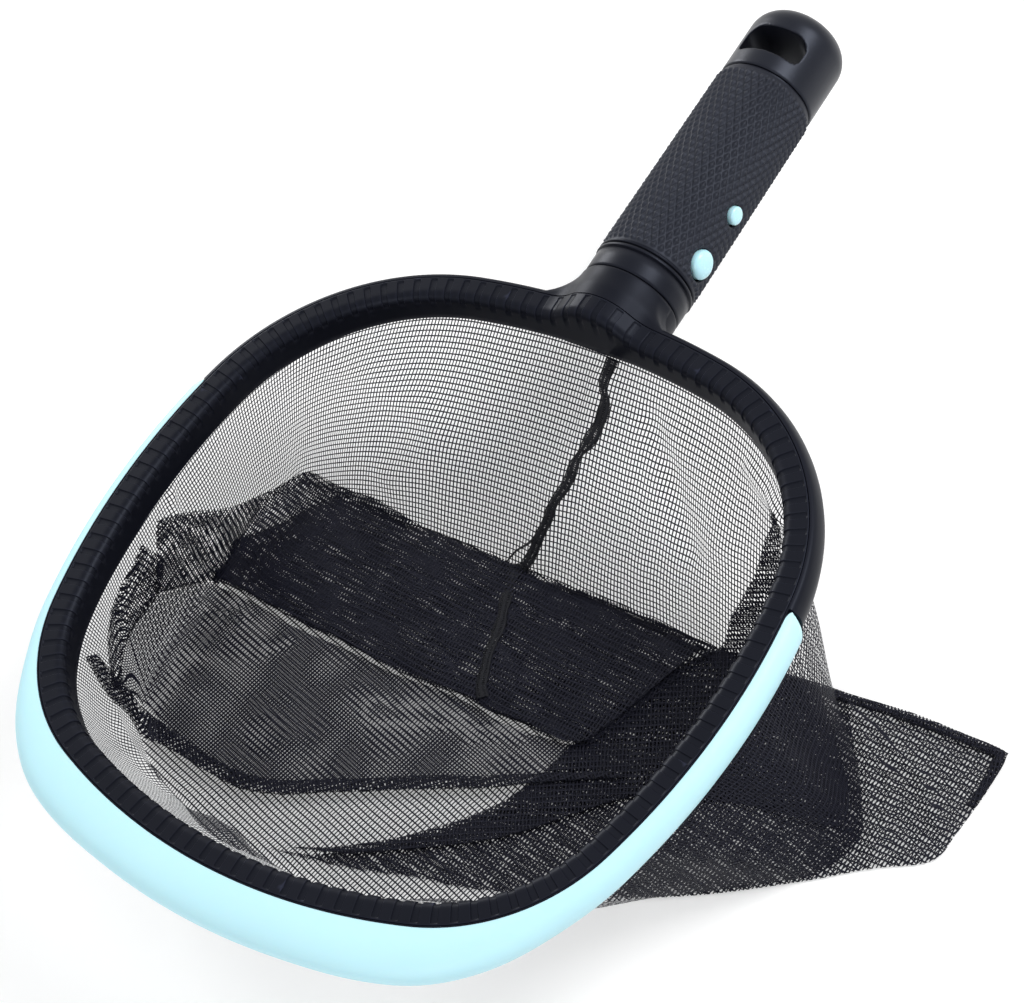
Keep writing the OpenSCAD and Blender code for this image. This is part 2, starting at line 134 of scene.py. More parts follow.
class SkimmerNeckSettings(bpy.types.PropertyGroup):
    """Sizes of the neck that joins hoop and grip."""

    radius: length("Neck Radius", "Radius of the neck at the grip seam", 17.6)
    flare: length("Flare Radius", "Radius of the flare in plan", 14.5)
    saddle: length("Saddle Radius", "Radius of the saddle over the hoop", 18.4)
    hollow: length("Hollow Radius", "Radius of the hollow beside the saddle", 14.0)
    rise: angle("Grip Rise", "Rise of the grip above the hoop's plane", 2.8)


class SkimmerLipSettings(bpy.types.PropertyGroup):
    """Sizes and colour of the scraper lip."""

    front_width: length("Front Width", "Width of the lip at the front", 14.4)
    side_width: length("Side Width", "Width of the lip along the sides", 6.2)
    height: length("Height", "Height of the lip", 12.0)
    end_bearing: angle("End Bearing", "Bearing on the side arc where the lip ends", 7.8)
    lip: colour("Lip", "Colour of the soft lip", 0.54, 0.86, 0.95)


class SkimmerGripSettings(bpy.types.PropertyGroup):
    """Sizes and colours of the collar, sleeve and end cap."""

    sleeve_radius: length("Sleeve Radius", "Radius of the sleeve at the collar", 18.3)
    sleeve_radius_end: length("Sleeve End Radius", "Radius of the sleeve at the cap", 18.0)
    sleeve_start: length("Sleeve Start", "From the seam to the sleeve", 9.05)
    grip_length: length("Grip Length", "From the seam to the cap", 88.0)
    point_pitch: length("Point Pitch", "Distance of the raised points' rows", 2.74)
    points_round: bpy.props.IntProperty(
        name="Points Round", description="Raised points in one turn", default=41, min=8
    )
    point_height: length("Point Height", "Height of the raised points", 1.1)
    cap_radius: length("Cap Radius", "Radius of the end cap", 17.4)
    cap_length: length("Cap Length", "Length of the end cap", 30.0)
    cap_round: length("Cap Rounding", "Rounding of the end cap", 9.0)
    slot_width: length("Slot Width", "Width of the hanging slot", 23.0)
    slot_length: length("Slot Length", "Length of the hanging slot", 10.7)
    slot_start: length("Slot Start", "From the grip's end to the slot", 7.0)
    collar: colour("Collar", "Colour of the collar", 0.0045, 0.005, 0.0085)
    sleeve: colour("Sleeve", "Colour of the sleeve", 0.006, 0.0065, 0.0105)
    cap: colour("Cap", "Colour of the end cap", 0.0045, 0.005, 0.0085)


class SkimmerClipSettings(bpy.types.PropertyGroup):
    """Sizes and colours of the spring clip, its buttons and pins."""

    button_place: length("Button Place", "From the seam to the press buttons", 17.7)
    button_diameter: length("Button Diameter", "Diameter of the press buttons", 10.0)
    button_reach: length("Button Reach", "Reach of the buttons from the axis", 19.2)
    pin_place: length("Pin Place", "From the seam to the lock pins", 39.2)
    pin_diameter: length("Pin Diameter", "Diameter of the lock pins", 6.3)
    pin_reach: length("Pin Reach", "Reach of the pins from the axis", 18.8)
    leg_place: length("Leg Place", "From the axis to the clip's legs", 9.5)
    roll: angle("Clip Roll", "Turn of the clip about the grip axis", 8.0)
    button: colour("Button", "Colour of buttons and pins", 0.50, 0.83, 0.93)
    steel: colour("Spring", "Colour of the spring strip", 0.55, 0.56, 0.58)
    alloy: colour("Spigot", "Colour of the spigot tube", 0.60, 0.61, 0.63)


class SkimmerBagSettings(bpy.types.PropertyGroup):
    """Sizes and colours of the mesh bag."""

    depth: length("Depth", "Depth of the bag below the origin", 61.9)
    across_pitch: length("Down Thread Pitch", "Distance of the threads that run down", 1.17)
    across_thread: length("Down Thread", "Width of the threads that run down", 0.43)
    along_pitch: length("Round Thread Pitch", "Distance of the threads that run round", 2.0)
    along_thread: length("Round Thread", "Width of the threads that run round", 0.48)
    wrinkle: length("Wrinkle", "Depth of the wrinkles", 1.8)
    net: colour("Net", "Colour of the threads", 0.0045, 0.005, 0.012)
    binding: colour("Binding", "Colour of seam and hem", 0.0065, 0.007, 0.010)


class SkimmerStageSettings(bpy.types.PropertyGroup):
    """Floor, light and camera."""

    floor: colour("Floor", "Colour of the floor", 0.8, 0.8, 0.8)
    floor_glow: bpy.props.FloatProperty(
        name="Floor Glow", description="Share of plain white that the eye sees", default=0.3, min=0.0
    )
    lens: bpy.props.FloatProperty(
        name="Lens", description="Focal length on a 36 mm sensor", default=89.884, min=10.0
    )
    soft_light: bpy.props.FloatProperty(
        name="Soft Light", description="Strength of the light all round", default=0.64, min=0.0
    )
    lamp_power: bpy.props.FloatProperty(
        name="Lamp Power", description="Power of the main lamp in watts", default=9.0, min=0.0
    )


def settings(context, *names):
    """The scene's groups of settings of those names."""
    return [getattr(context.scene, "skimmer_" + name) for name in names]


# ---------------------------------------------------------------- surfaces


def smooth_step(value, low, high):
    """0 below low, 1 above high and a soft rise between them."""
    t = np.clip((np.asarray(value, float) - low) / (high - low), 0.0, 1.0)
    return t * t * (3.0 - 2.0 * t)


def soft_min(a, b, width):
    """The lesser of two values with a round corner of that width."""
    h = np.clip(0.5 + 0.5 * (b - a) / width, 0.0, 1.0)
    return b * (1 - h) + a * h - width * h * (1 - h)


def soft_max(a, b, width):
    """The greater of two values with a round corner of that width."""
    return -soft_min(-np.asarray(a), -np.asarray(b), width)


def through(points, count):
    """A smooth line of count points through the given ones."""
    p = np.asarray(points, float)
    last = len(p) - 1
    t = np.linspace(0, last - 1e-9, count)
    i, f = t.astype(int), (t - t.astype(int))[:, None]
    a, b, c, d = (p[np.clip(i + k, 0, last)] for k in (-1, 0, 1, 2))
    return b + 0.5 * f * (c - a + f * (2 * a - 5 * b + 4 * c - d + f * (3 * (b - c) + d - a)))


def ripples(x, y, seed, count, coarse, fine):
    """A seeded soft unevenness between about -1 and 1 over two coordinates in millimetres."""
    rng = np.random.default_rng(seed)
    total = np.zeros(np.broadcast(x, y).shape)
    for _ in range(count):
        wave = math.exp(rng.uniform(math.log(fine), math.log(coarse)))
        way, start = rng.uniform(0, TURN), rng.uniform(0, TURN)
        total += np.sin(TURN * (x * math.cos(way) + y * math.sin(way)) / wave + start)
    return total / math.sqrt(count)


class Surface:
    """Collects patches of points in millimetres and makes one mesh of them."""

    def __init__(self):
        self.points, self.faces, self.threads = [], [], []
        self.count = 0

    def patch(self, grid, wrap_rows=False, wrap_cols=False, threads=None):
        """Adds a grid of points joined by four-sided faces, and returns its point numbers."""
        grid = np.asarray(grid, float)
        rows, cols = grid.shape[:2]
        number = np.arange(rows * cols).reshape(rows, cols) + self.count
        self.points.append(grid.reshape(-1, 3))
        self.count += rows * cols
        r = np.vstack([number, number[:1]]) if wrap_rows else number
        r = np.hstack([r, r[:, :1]]) if wrap_cols else r
        faces = np.stack([r[:-1, :-1], r[1:, :-1], r[1:, 1:], r[:-1, 1:]], -1).reshape(-1, 4)
        self.faces.extend(faces.tolist())
        if threads is not None:
            t = np.asarray(threads, float)
            corner = [t[:-1, :-1], t[1:, :-1], t[1:, 1:], t[:-1, 1:]]
            self.threads.append(np.stack(corner, 2).reshape(-1, 2))
        return number

    def fan(self, ring, centre):
        """Closes a ring of point numbers with triangles to a centre."""
        self.points.append(np.asarray([centre], float))
        ring = list(ring)
        for a, b in zip(ring, ring[1:] + ring[:1]):
            self.faces.append([a, b, self.count])
        self.count += 1

    def tube(self, grid, first, last):
        """Adds rings of points that are closed at both ends with fans to a centre."""
        rings = self.patch(grid, wrap_cols=True)
        self.fan(rings[0][::-1], first)
        self.fan(rings[-1], last)

    def build(self, name, materials, sharp, outward=True):
        """Makes the object, with its surfaces facing outward and its sharp edges marked."""
        mesh = bpy.data.meshes.new(name)
        mesh.from_pydata((np.concatenate(self.points) * MM).tolist(), [], self.faces)
        if self.threads:
            flat = np.concatenate(self.threads)
            low, high = flat.min(0), flat.max(0)
            layer = mesh.uv_layers.new(name="OFBake")
            even = 0.01 + 0.98 * (flat - low) / (high - low)
            layer.data.foreach_set("uv", even.astype(np.float32).ravel())
            layer = mesh.uv_layers.new(name="Threads")
            layer.data.foreach_set("uv", flat.astype(np.float32).ravel())
        for m in materials:
            mesh.materials.append(m)
        if outward:
            work = bmesh.new()
            work.from_mesh(mesh)
            bmesh.ops.recalc_face_normals(work, faces=work.faces)
            work.to_mesh(mesh)
            work.free()
        mesh.shade_smooth()
        if sharp:
            mesh.set_sharp_from_angle(angle=math.radians(sharp))
        piece = bpy.data.objects.new(name, mesh)
        bpy.context.scene.collection.objects.link(piece)
        return piece


class HoopOutline:
    """The hoop's joint line: eight tangent arcs, by bearing from the front to the rear."""

    def __init__(self, hoop):
        front_r, side_r, rear_r = hoop.front_radius / MM, hoop.side_radius / MM, hoop.rear_radius / MM
        corner_r, back_r = hoop.corner_radius / MM, hoop.rear_corner_radius / MM
        front = np.array([0.0, front_r - hoop.front_reach / MM])
        side = np.array([hoop.half_width / MM - side_r, -hoop.wide_line / MM])
        rear = np.array([0.0, -hoop.rear_reach / MM - rear_r])
        corner = self.meet(front, front_r - corner_r, side, side_r - corner_r, 1)
        back = self.meet(rear, rear_r - back_r, side, side_r - back_r, -1)
        self.rear = rear
        self.centres = np.array([front, corner, side, back, rear])
        self.radii = np.array([front_r, corner_r, side_r, back_r, rear_r])
        turns = [self.facing(front, corner), self.facing(side, corner)]
        turns += [self.facing(side, back), self.facing(rear, back), 90.0]
        self.ends = np.array(turns)
        self.starts = np.concatenate([[-90.0], self.ends[:-1]])

    @staticmethod
    def meet(a, ra, b, rb, way):
        """Where two circles cross, on one side."""
        gap = np.linalg.norm(b - a)
        e = (b - a) / gap
        m = (ra * ra - rb * rb + gap * gap) / (2 * gap)
        return a + e * m + way * math.sqrt(ra * ra - m * m) * np.array([-e[1], e[0]])

    @staticmethod
    def facing(a, b):
        """Bearing of b from a in degrees."""
        return math.degrees(math.atan2(b[1] - a[1], b[0] - a[0]))

    def at(self, bearings, offsets):
        """Points on the right half for each bearing, moved outward by each offset."""
        bearings = np.asarray(bearings, float)
        k = np.clip(np.searchsorted(self.ends, bearings), 0, 4)
        way = np.stack([np.cos(np.radians(bearings)), np.sin(np.radians(bearings))], -1)
        out = self.radii[k][:, None] + np.broadcast_to(offsets, (len(bearings), np.shape(offsets)[-1]))
        return self.centres[k][:, None] + out[..., None] * way[:, None]

    def runs(self, offset):
        """Distances from the front to each arc's end along a line moved by offset."""
        return np.cumsum((self.radii + offset) * np.radians(self.ends - self.starts))

    def bearing(self, distances, offset):
        """Bearings at those distances from the front."""
        runs = self.runs(offset)
        d = np.asarray(distances, float)
        k = np.clip(np.searchsorted(runs, d), 0, 4)
        before = d - np.concatenate([[0.0], runs[:-1]])[k]
        return self.starts[k] + np.degrees(before / (self.radii[k] + offset))

    def evenly(self, step, offset=0.0, extra=()):
        """Bearings from front to rear about one step apart."""
        found = []
        for start, end, radius in zip(self.starts, self.ends, self.radii + offset):
            count = max(2, round(radius * math.radians(end - start) / step))
            found += list(start + (end - start) * np.arange(count) / count)
        kept = [b for b in found if all(abs(b - e) > 0.12 for e in extra)]
        return np.array(sorted(kept + list(extra)) + [90.0])

    def swept(self, bearings, sections, top, humps=None):
        """Rows of points round the whole hoop for sections given as (offset, height)."""
        sections = np.broadcast_to(sections, (len(bearings),) + np.shape(sections)[-2:])
        flat = self.at(bearings, sections[..., 0])
        right = np.concatenate([flat, (top + sections[..., 1])[..., None]], -1)
        left = right[-2:0:-1] * [-1.0, 1.0, 1.0]
        rows = np.concatenate([right, left])
        return humps(rows) if humps else rows


def on_grip(points, rise):
    """Turns points from the grip's frame, with y along its axis, into the object's frame."""
    x, y, z = np.moveaxis(np.asarray(points, float), -1, 0)
    c, s = math.cos(rise), math.sin(rise)
    return np.stack([x, y * c - z * s, y * s + z * c], -1)


def on_clip(points, rise, roll):
    """Turns points from the clip's frame into the object's frame."""
    x, y, z = np.moveaxis(np.asarray(points, float), -1, 0)
    c, s = math.cos(roll), math.sin(roll)
    return on_grip(np.stack([x * c - z * s, y, x * s + z * c], -1), rise)


def turned(profile, segments):
    """Rows of points for a profile of (radius, place) turned about the y axis."""
    p = np.asarray(profile, float)
    a = np.arange(segments) * TURN / segments
    ring = np.stack([np.cos(a), np.zeros(segments), np.sin(a)], -1)
    return p[:, :1, None] * ring[None] + np.array([0.0, 1.0, 0.0]) * p[:, 1][:, None, None]


def cutter(points_in_rows, name):
    """A closed form that cuts a hole and is removed again."""
    form = Surface()
    rows = form.patch(points_in_rows, wrap_cols=True)
    form.fan(rows[0], np.mean(points_in_rows[0], 0))
    form.fan(rows[-1][::-1], np.mean(points_in_rows[-1], 0))
    return form.build(name, [], sharp=0)


def cut(piece, tools):
    """Cuts the tools out of a piece and removes them."""
    for tool in tools:
        step = piece.modifiers.new("cut", "BOOLEAN")
        step.operation, step.solver, step.object = "DIFFERENCE", "EXACT", tool
    settle(piece)
    for tool in tools:
        bpy.data.objects.remove(tool)


def settle(piece):
    """Applies a piece's modifiers to its mesh."""
    ready = piece.evaluated_get(bpy.context.evaluated_depsgraph_get())
    mesh = bpy.data.meshes.new_from_object(ready)
    piece.modifiers.clear()
    piece.data = mesh
    mesh.name = piece.name


def place(piece, body, slot, *nodes):
    """Lets a piece ride on its body and stand for its nodes."""
    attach(piece, body)
    if nodes:
        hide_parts(*nodes)


def run_along(points):
    """Distance of every point from the first, along their line."""
    return np.r_[0, np.cumsum(np.linalg.norm(np.diff(points, axis=0), axis=1))]


def saddle_height(x, hoop, neck):
    """Height of the saddle's top over the hoop, across the neck."""
    top, radius, hollow = hoop.top / MM, neck.saddle / MM, neck.hollow / MM
    drop = math.sin(neck.rise) * (hoop.rear_reach / MM + 4.0)
    rise = top + drop + hollow
    side = math.sqrt((radius + hollow) ** 2 - rise * rise)
    x = np.abs(np.asarray(x, float))
    change = side * radius / (radius + hollow)
    crown = np.sqrt(np.maximum(radius**2 - np.minimum(x, change) ** 2, 0.0)) - drop
    bowl = rise - drop - np.sqrt(np.maximum(hollow**2 - (np.clip(x, change, side) - side) ** 2, 0.0))
    return np.where(x < change, crown, np.where(x < side, bowl, top))


# ---------------------------------------------------------------- materials

COOL_GLOSS = (0.74, 0.81, 1.0, 1.0)


class Finish:
    """Builds one node material, step by step."""

    def __init__(self, name):
        self.material = bpy.data.materials.new(name)
        self.material.use_nodes = True
        self.tree = self.material.node_tree
        self.tree.nodes.clear()
        self.output = self.add("ShaderNodeOutputMaterial")
        self.shader = self.add("ShaderNodeBsdfPrincipled")
        self.join(self.shader.outputs["BSDF"], self.output.inputs["Surface"])
        self.place = self.add("ShaderNodeTexCoord").outputs["Object"]

    def join(self, start, end):
        """Links two sockets."""
        self.tree.links.new(start, end)

    def add(self, kind, values=None, **settings):
        """Adds a node, sets its settings and fills or links its inputs."""
        node = self.tree.nodes.new(kind)
        for key, value in settings.items():
            setattr(node, key, value)
        for key, value in (values or {}).items():
            if isinstance(value, bpy.types.NodeSocket):
                self.join(value, node.inputs[key])
            else:
                node.inputs[key].default_value = value
        return node

    def sum(self, operation, first, second=0.0, third=0.0):
        """A maths step on one to three values."""
        return self.add(
            "ShaderNodeMath", {0: first, 1: second, 2: third}, operation=operation
        ).outputs[0]

    def noise(self, size, detail, roughness=0.5, where=None):
        """A soft noise whose features are about size metres apart."""
        return self.add(
            "ShaderNodeTexNoise",
            {"Vector": where or self.place, "Scale": 1.0 / size, "Detail": detail, "Roughness": roughness},
        ).outputs["Fac"]

    def between(self, value, low, high, first, second):
        """Maps a value from one range to another."""
        return self.add(
            "ShaderNodeMapRange",
            {"Value": value, "From Min": low, "From Max": high, "To Min": first, "To Max": second},
        ).outputs["Result"]

    def shades(self, value, first, second):
        """A colour between two, by a value."""
        return self.add(
            "ShaderNodeMix",
            {"Factor": value, "A": (*first, 1.0), "B": (*second, 1.0)},
            data_type="RGBA",
        ).outputs["Result"]

    def bumps(self, height, depth, strength=1.0, below=None):
        """Raises the surface by a height of that depth in metres."""
        values = {"Height": height, "Distance": depth, "Strength": strength}
        if below is not None:
            values["Normal"] = below
        return self.add("ShaderNodeBump", values).outputs["Normal"]

    def set(self, **inputs):
        """Fills or links the shader's own sockets."""
        for key, value in inputs.items():
            socket = self.shader.inputs[key.replace("_", " ")]
            if isinstance(value, bpy.types.NodeSocket):
                self.join(value, socket)
            else:
                socket.default_value = value


def scaled(shade, factor):
    """A colour made lighter or darker."""
    return tuple(min(1.0, c * factor) for c in shade)


def moulded_plastic(name, shade, roughness=0.42, gloss=0.13, edge=2.2):
    """Fine-grained moulded plastic with soft clouds, light scuffs and lighter edges: rubbed wear at the
    default edge factor, and a painted highlight where the factor is raised, as on the snap ring.
    """
    f = Finish(name)
    cloud = f.noise(0.03, 3.0)
    grain = f.noise(0.00028, 2.0, 0.6)
    drawn_out = f.add(
        "ShaderNodeMapping", {"Vector": f.place, "Scale": (1.0, 7.0, 2.0), "Rotation": (0.3, 0.2, 0.6)}
    ).outputs["Vector"]
    scuffs = f.between(f.noise(0.004, 4.0, 0.7, drawn_out), 0.62, 0.75, 0.0, 1.0)
    # Edges picked out by pointiness are lightened by the edge factor: rubbed wear at the default factor, and
    # a painted highlight at a raised factor.
    wear_and_glint = f.between(f.add("ShaderNodeNewGeometry").outputs["Pointiness"], 0.52, 0.6, 0.0, 1.0)
    base = f.shades(cloud, scaled(shade, 0.8), scaled(shade, 1.2))
    tone = f.add(
        "ShaderNodeMix",
        {"Factor": f.sum("MULTIPLY", wear_and_glint, 0.5), "A": base, "B": (*scaled(shade, edge), 1.0)},
        data_type="RGBA",
    ).outputs["Result"]
    clouded = f.between(cloud, 0.3, 0.7, roughness - 0.03, roughness + 0.04)
    f.set(
        Base_Color=tone,
        Roughness=f.sum("ADD", clouded, f.sum("MULTIPLY", scuffs, 0.07)),
        Specular_IOR_Level=gloss,
        Specular_Tint=COOL_GLOSS,
        Normal=f.bumps(grain, 0.000012, 1.0, f.bumps(scuffs, 0.00001, 0.4)),
    )
    return f.material


def soft_rubber(name, shade):
    """Matt soft rubber with a slight bloom."""
    f = Finish(name)
    cloud = f.noise(0.018, 3.0)
    grain = f.noise(0.0002, 2.0, 0.6)
    f.set(
        Base_Color=f.shades(cloud, scaled(shade, 0.8), scaled(shade, 1.25)),
        Roughness=f.between(cloud, 0.3, 0.7, 0.51, 0.6),
        Specular_IOR_Level=0.42,
        Specular_Tint=COOL_GLOSS,
        Normal=f.bumps(grain, 0.00001),
    )
    return f.material


def soft_plastic(name, shade):
    """Pale soft plastic, slightly see-through at its skin, with a faint flow unevenness."""
    f = Finish(name)
    cloud = f.noise(0.05, 2.0)
    fine = f.noise(0.0005, 2.0)
    f.set(
        Base_Color=f.shades(cloud, scaled(shade, 0.96), scaled(shade, 1.03)),
        Roughness=f.between(cloud, 0.3, 0.7, 0.4, 0.48),
        Specular_IOR_Level=0.35,
        Subsurface_Weight=0.12,
        Subsurface_Radius=(0.4, 0.8, 1.0),
        Subsurface_Scale=0.0015,
        Normal=f.bumps(fine, 0.000008, 1.0, f.bumps(cloud, 0.0002, 0.3)),
    )
    return f.material


def polished_plastic(name, shade):
    """Smooth moulded plastic of a button."""
    f = Finish(name)
    cloud = f.noise(0.004, 2.0)
    f.set(
        Base_Color=f.shades(cloud, scaled(shade, 0.95), scaled(shade, 1.05)),
        Roughness=f.between(f.noise(0.0012, 3.0), 0.3, 0.7, 0.22, 0.3),
        Specular_IOR_Level=0.5,
        Subsurface_Weight=0.08,
        Subsurface_Scale=0.001,
        Normal=f.bumps(f.noise(0.0006, 2.0), 0.000006),
    )
    return f.material


def drawn_metal(name, shade, across):
    """Metal with fine drawing lines across the given directions."""
    f = Finish(name)
    lines = f.add("ShaderNodeMapping", {"Vector": f.place, "Scale": across}).outputs["Vector"]
    streak = f.noise(0.0006, 5.0, 0.65, lines)
    f.set(
        Base_Color=f.shades(streak, scaled(shade, 0.85), scaled(shade, 1.1)),
        Metallic=1.0,
        Roughness=f.between(streak, 0.3, 0.7, 0.26, 0.42),
        Normal=f.bumps(streak, 0.000015),
    )
    return f.material


def twisted_cord(name, shade):
    """Dark cord with a twisted lay."""
    f = Finish(name)
    wave = f.add(
        "ShaderNodeTexWave",
        {"Vector": f.place, "Scale": 300.0, "Distortion": 1.5, "Detail": 2.0},
        bands_direction="DIAGONAL",
    ).outputs["Fac"]
    f.set(
        Base_Color=f.shades(wave, scaled(shade, 0.6), scaled(shade, 1.4)),
        Roughness=0.8,
        Sheen_Weight=0.1,
        Normal=f.bumps(wave, 0.0002),
    )
    return f.material


def open_net(name, shade, across_pitch, across_thread, along_pitch, along_thread, cover=0.0):
    """Woven open net: flat threads that pass over and under each other, with holes between."""
    f = Finish(name)
    flat = f.add("ShaderNodeUVMap", uv_map="Threads").outputs["UV"]
    axes = f.add("ShaderNodeSeparateXYZ", {"Vector": flat})
    drift = f.add("ShaderNodeTexNoise", {"Vector": flat, "Scale": 0.035, "Detail": 1.0}).outputs["Color"]
    drifts = f.add("ShaderNodeSeparateXYZ", {"Vector": drift})
    uneven = f.add("ShaderNodeTexNoise", {"Vector": flat, "Scale": 0.45, "Detail": 2.0}).outputs["Fac"]
    sway, fray = 1.2, 0.12
    heights, masks = [], []
    for own, other, pitch, thread, cross_pitch, start in (
        ("X", "Y", across_pitch, across_thread, along_pitch, 0.5),
        ("Y", "X", along_pitch, along_thread, across_pitch, -0.5),
    ):
        moved = f.sum("MULTIPLY_ADD", drifts.outputs[own], sway, axes.outputs[own])
        moved = f.sum("MULTIPLY_ADD", uneven, fray, moved)
        along = f.sum("MULTIPLY_ADD", drifts.outputs[other], sway, axes.outputs[other])
        away = f.sum("PINGPONG", moved, pitch / 2)
        masks.append(f.between(away, thread / 2 - 0.03, thread / 2 + 0.03, 1.0, cover))
        share = f.sum("DIVIDE", away, thread / 2)
        left = f.sum("MAXIMUM", f.sum("SUBTRACT", 1.0, f.sum("MULTIPLY", share, share)), 0.0)
        crossing = f.sum("FLOOR", f.sum("ADD", f.sum("DIVIDE", moved, pitch), 0.5))
        swing = f.sum("MULTIPLY_ADD", crossing, math.pi, f.sum("MULTIPLY", along, math.pi / cross_pitch))
        wave = f.sum("SINE", f.sum("ADD", swing, start * math.pi))
        heights.append(f.sum("MULTIPLY", f.sum("SQRT", left), f.sum("MULTIPLY_ADD", wave, 0.3, 0.6)))
    mask = f.sum("MINIMUM", f.sum("MAXIMUM", masks[0], masks[1]), 1.0)
    height = f.sum("MAXIMUM", heights[0], heights[1])
    lint = f.add("ShaderNodeTexNoise", {"Vector": flat, "Scale": 2.5, "Detail": 3.0}).outputs["Fac"]
    f.set(
        Base_Color=f.shades(lint, scaled(shade, 0.7), scaled(shade, 1.5)),
        Roughness=f.between(lint, 0.3, 0.7, 0.5, 0.65),
        Specular_IOR_Level=0.18,
        Normal=f.bumps(height, across_thread * MM * 0.5, 0.7),
    )
    clear = f.add("ShaderNodeBsdfTransparent")
    mix = f.add("ShaderNodeMixShader", {"Fac": mask, 1: clear.outputs["BSDF"], 2: f.shader.outputs["BSDF"]})
    f.join(mix.outputs["Shader"], f.output.inputs["Surface"])
    return f.material


# ---------------------------------------------------------------- hoop

RIM = [
    (-0.55, -2.6), (-0.55, -0.35), (-0.5, -0.12), (-0.35, 0), (0.3, -0.05), (0.95, -0.5), (1.7, -1.5),
    (2.4, -3), (2.85, -4.5), (3, -6), (2.85, -7.8), (2.4, -9.5), (1.6, -11), (0.8, -12), (0, -12.45),
    (-0.6, -12.6), (-1.6, -12.6), (-1.8, -12.4), (-1.8, -8.4), (-2, -8.2), (-5, -8.2), (-5.2, -8.4),
    (-5.2, -12.4), (-5.4, -12.6), (-6.2, -12.6), (-6.4, -12.4), (-6.4, -3.4), (-5.6, -3.4),
    (-5.6, -6.6), (-2.4, -6.6), (-2.4, -2.75), (-0.55, -2.75),
]

# Offset of the flat face that the lip sits on.
LIP_SEAT = -0.15


def rim_rows(hoop, outline, lip):
    """The rim's section swept round the hoop, flat where the lip sits on it."""
    end = math.degrees(lip.end_bearing)
    bearings = outline.evenly(1.9, 0.0, (end, end + 0.08))
    sections = np.repeat(np.array([RIM]), len(bearings), 0)
    seated = bearings <= end
    sections[seated, :, 0] = np.minimum(sections[seated, :, 0], LIP_SEAT)
    return outline.swept(bearings, sections, hoop.top / MM)


# Places of the neck along the grip's axis, its edge at the seam and the point where it closes.
FLARE_START = -1.3
HOOP_SIDE = -15.5
UNDERCUT_START = -8.5
UNDER_HOOP = -20.8
UNDERCUT_SLOPE = math.tan(math.radians(43.4))
UNDERSIDE = 12.5
SEAM_EDGE = ((15.1, -9.9), (15.1, -2.0), (17.05, -2.0), (17.4, -2.12), (17.58, -2.45))
NECK_END = (0, -17.5, 3.0)


def neck_limit(hoop, neck, around):
    """How far the neck reaches at each angle before it leaves the hoop's height."""
    reach = np.arange(0.0, 45.0, 0.05)
    rays_x = reach[:, None] * np.cos(around)
    rays_z = HOOP_SIDE * math.sin(neck.rise) + reach[:, None] * np.sin(around) * math.cos(neck.rise)
    below_saddle = rays_z <= saddle_height(rays_x, hoop, neck) - 0.06
    limit = reach[np.argmin(below_saddle & (rays_z >= hoop.top / MM - UNDERSIDE), 0)]
    return np.convolve(np.r_[limit[-2:], limit, limit[:2]], np.ones(5) / 5, "valid")


def neck_rows(hoop, neck, outline):
    """The neck in rings about the grip's axis, from the seam to the hoop."""
    radius, flare = neck.radius / MM, neck.flare / MM
    columns = 180
    around = np.arange(columns) * TURN / columns
    c, s = np.cos(around), np.sin(around)
    tilt_c, tilt_s = math.cos(neck.rise), math.sin(neck.rise)
    limit = neck_limit(hoop, neck, around)
    bend = np.radians(np.linspace(6.0, 80.0, 34))
    plan = radius + flare * (1 - np.cos(bend))
    share = np.sin(bend) / math.sin(bend[-1])
    # Where the neck ends depends on its height there, so the two are found in turns.
    ends = np.full(columns, -16.0)
    for _ in range(3):
        y = FLARE_START + (ends - FLARE_START) * share[:, None]
        flared = soft_min(np.repeat(plan[:, None], columns, 1), limit, 3.2)
        out = soft_max(np.full_like(y, radius), flared, 0.8)
        floor = (radius - (UNDERCUT_START - y) * UNDERCUT_SLOPE) / np.maximum(-s, 0.05)
        under = np.where((s < 0) & (y < UNDERCUT_START + 2), soft_min(out, floor, 1.6), out)
        out = np.where(s < 0, np.minimum(out, under), out)
        last_x, last_z = out[-1] * c, out[-1] * s
        high = last_z * tilt_c + HOOP_SIDE * tilt_s
        joint = [outline.rear[1] + np.sqrt((outline.radii[4] + u) ** 2 - last_x**2) for u in (-0.5, 0.1)]
        flat = joint[1] + (joint[0] - joint[1]) * smooth_step(high, 8.5, 10.0)
        ends = flat * tilt_c + high * tilt_s
        ends = ends + (UNDER_HOOP - ends) * smooth_step(-high, 1.5, 4.0)
    grid = np.stack([out * c, y, out * s], -1)
    return on_grip(np.concatenate([turned(SEAM_EDGE, columns), grid]), neck.rise)


class SKIMMER_OT_hoop_frame(bpy.types.Operator):
    """Make the hoop moulding: rim, groove, lip seat and flared neck"""

    bl_idname = "skimmer.hoop_frame"
    bl_label = "Hoop Frame"

    def execute(self, context):
        """Builds the piece."""
        hoop, neck, lip = settings(context, "hoop", "neck", "lip")
        outline = HoopOutline(hoop)
        form = Surface()
        form.patch(rim_rows(hoop, outline, lip), wrap_rows=True, wrap_cols=True)
        form.tube(neck_rows(hoop, neck, outline), on_grip((0, SEAM_EDGE[0][1], 0), neck.rise), NECK_END)
        piece = form.build("hoop_frame", [moulded_plastic("hoop moulding", hoop.moulding)], 42)
        place(piece, "net", "hoop_plastic", "frame")
        return {"FINISHED"}


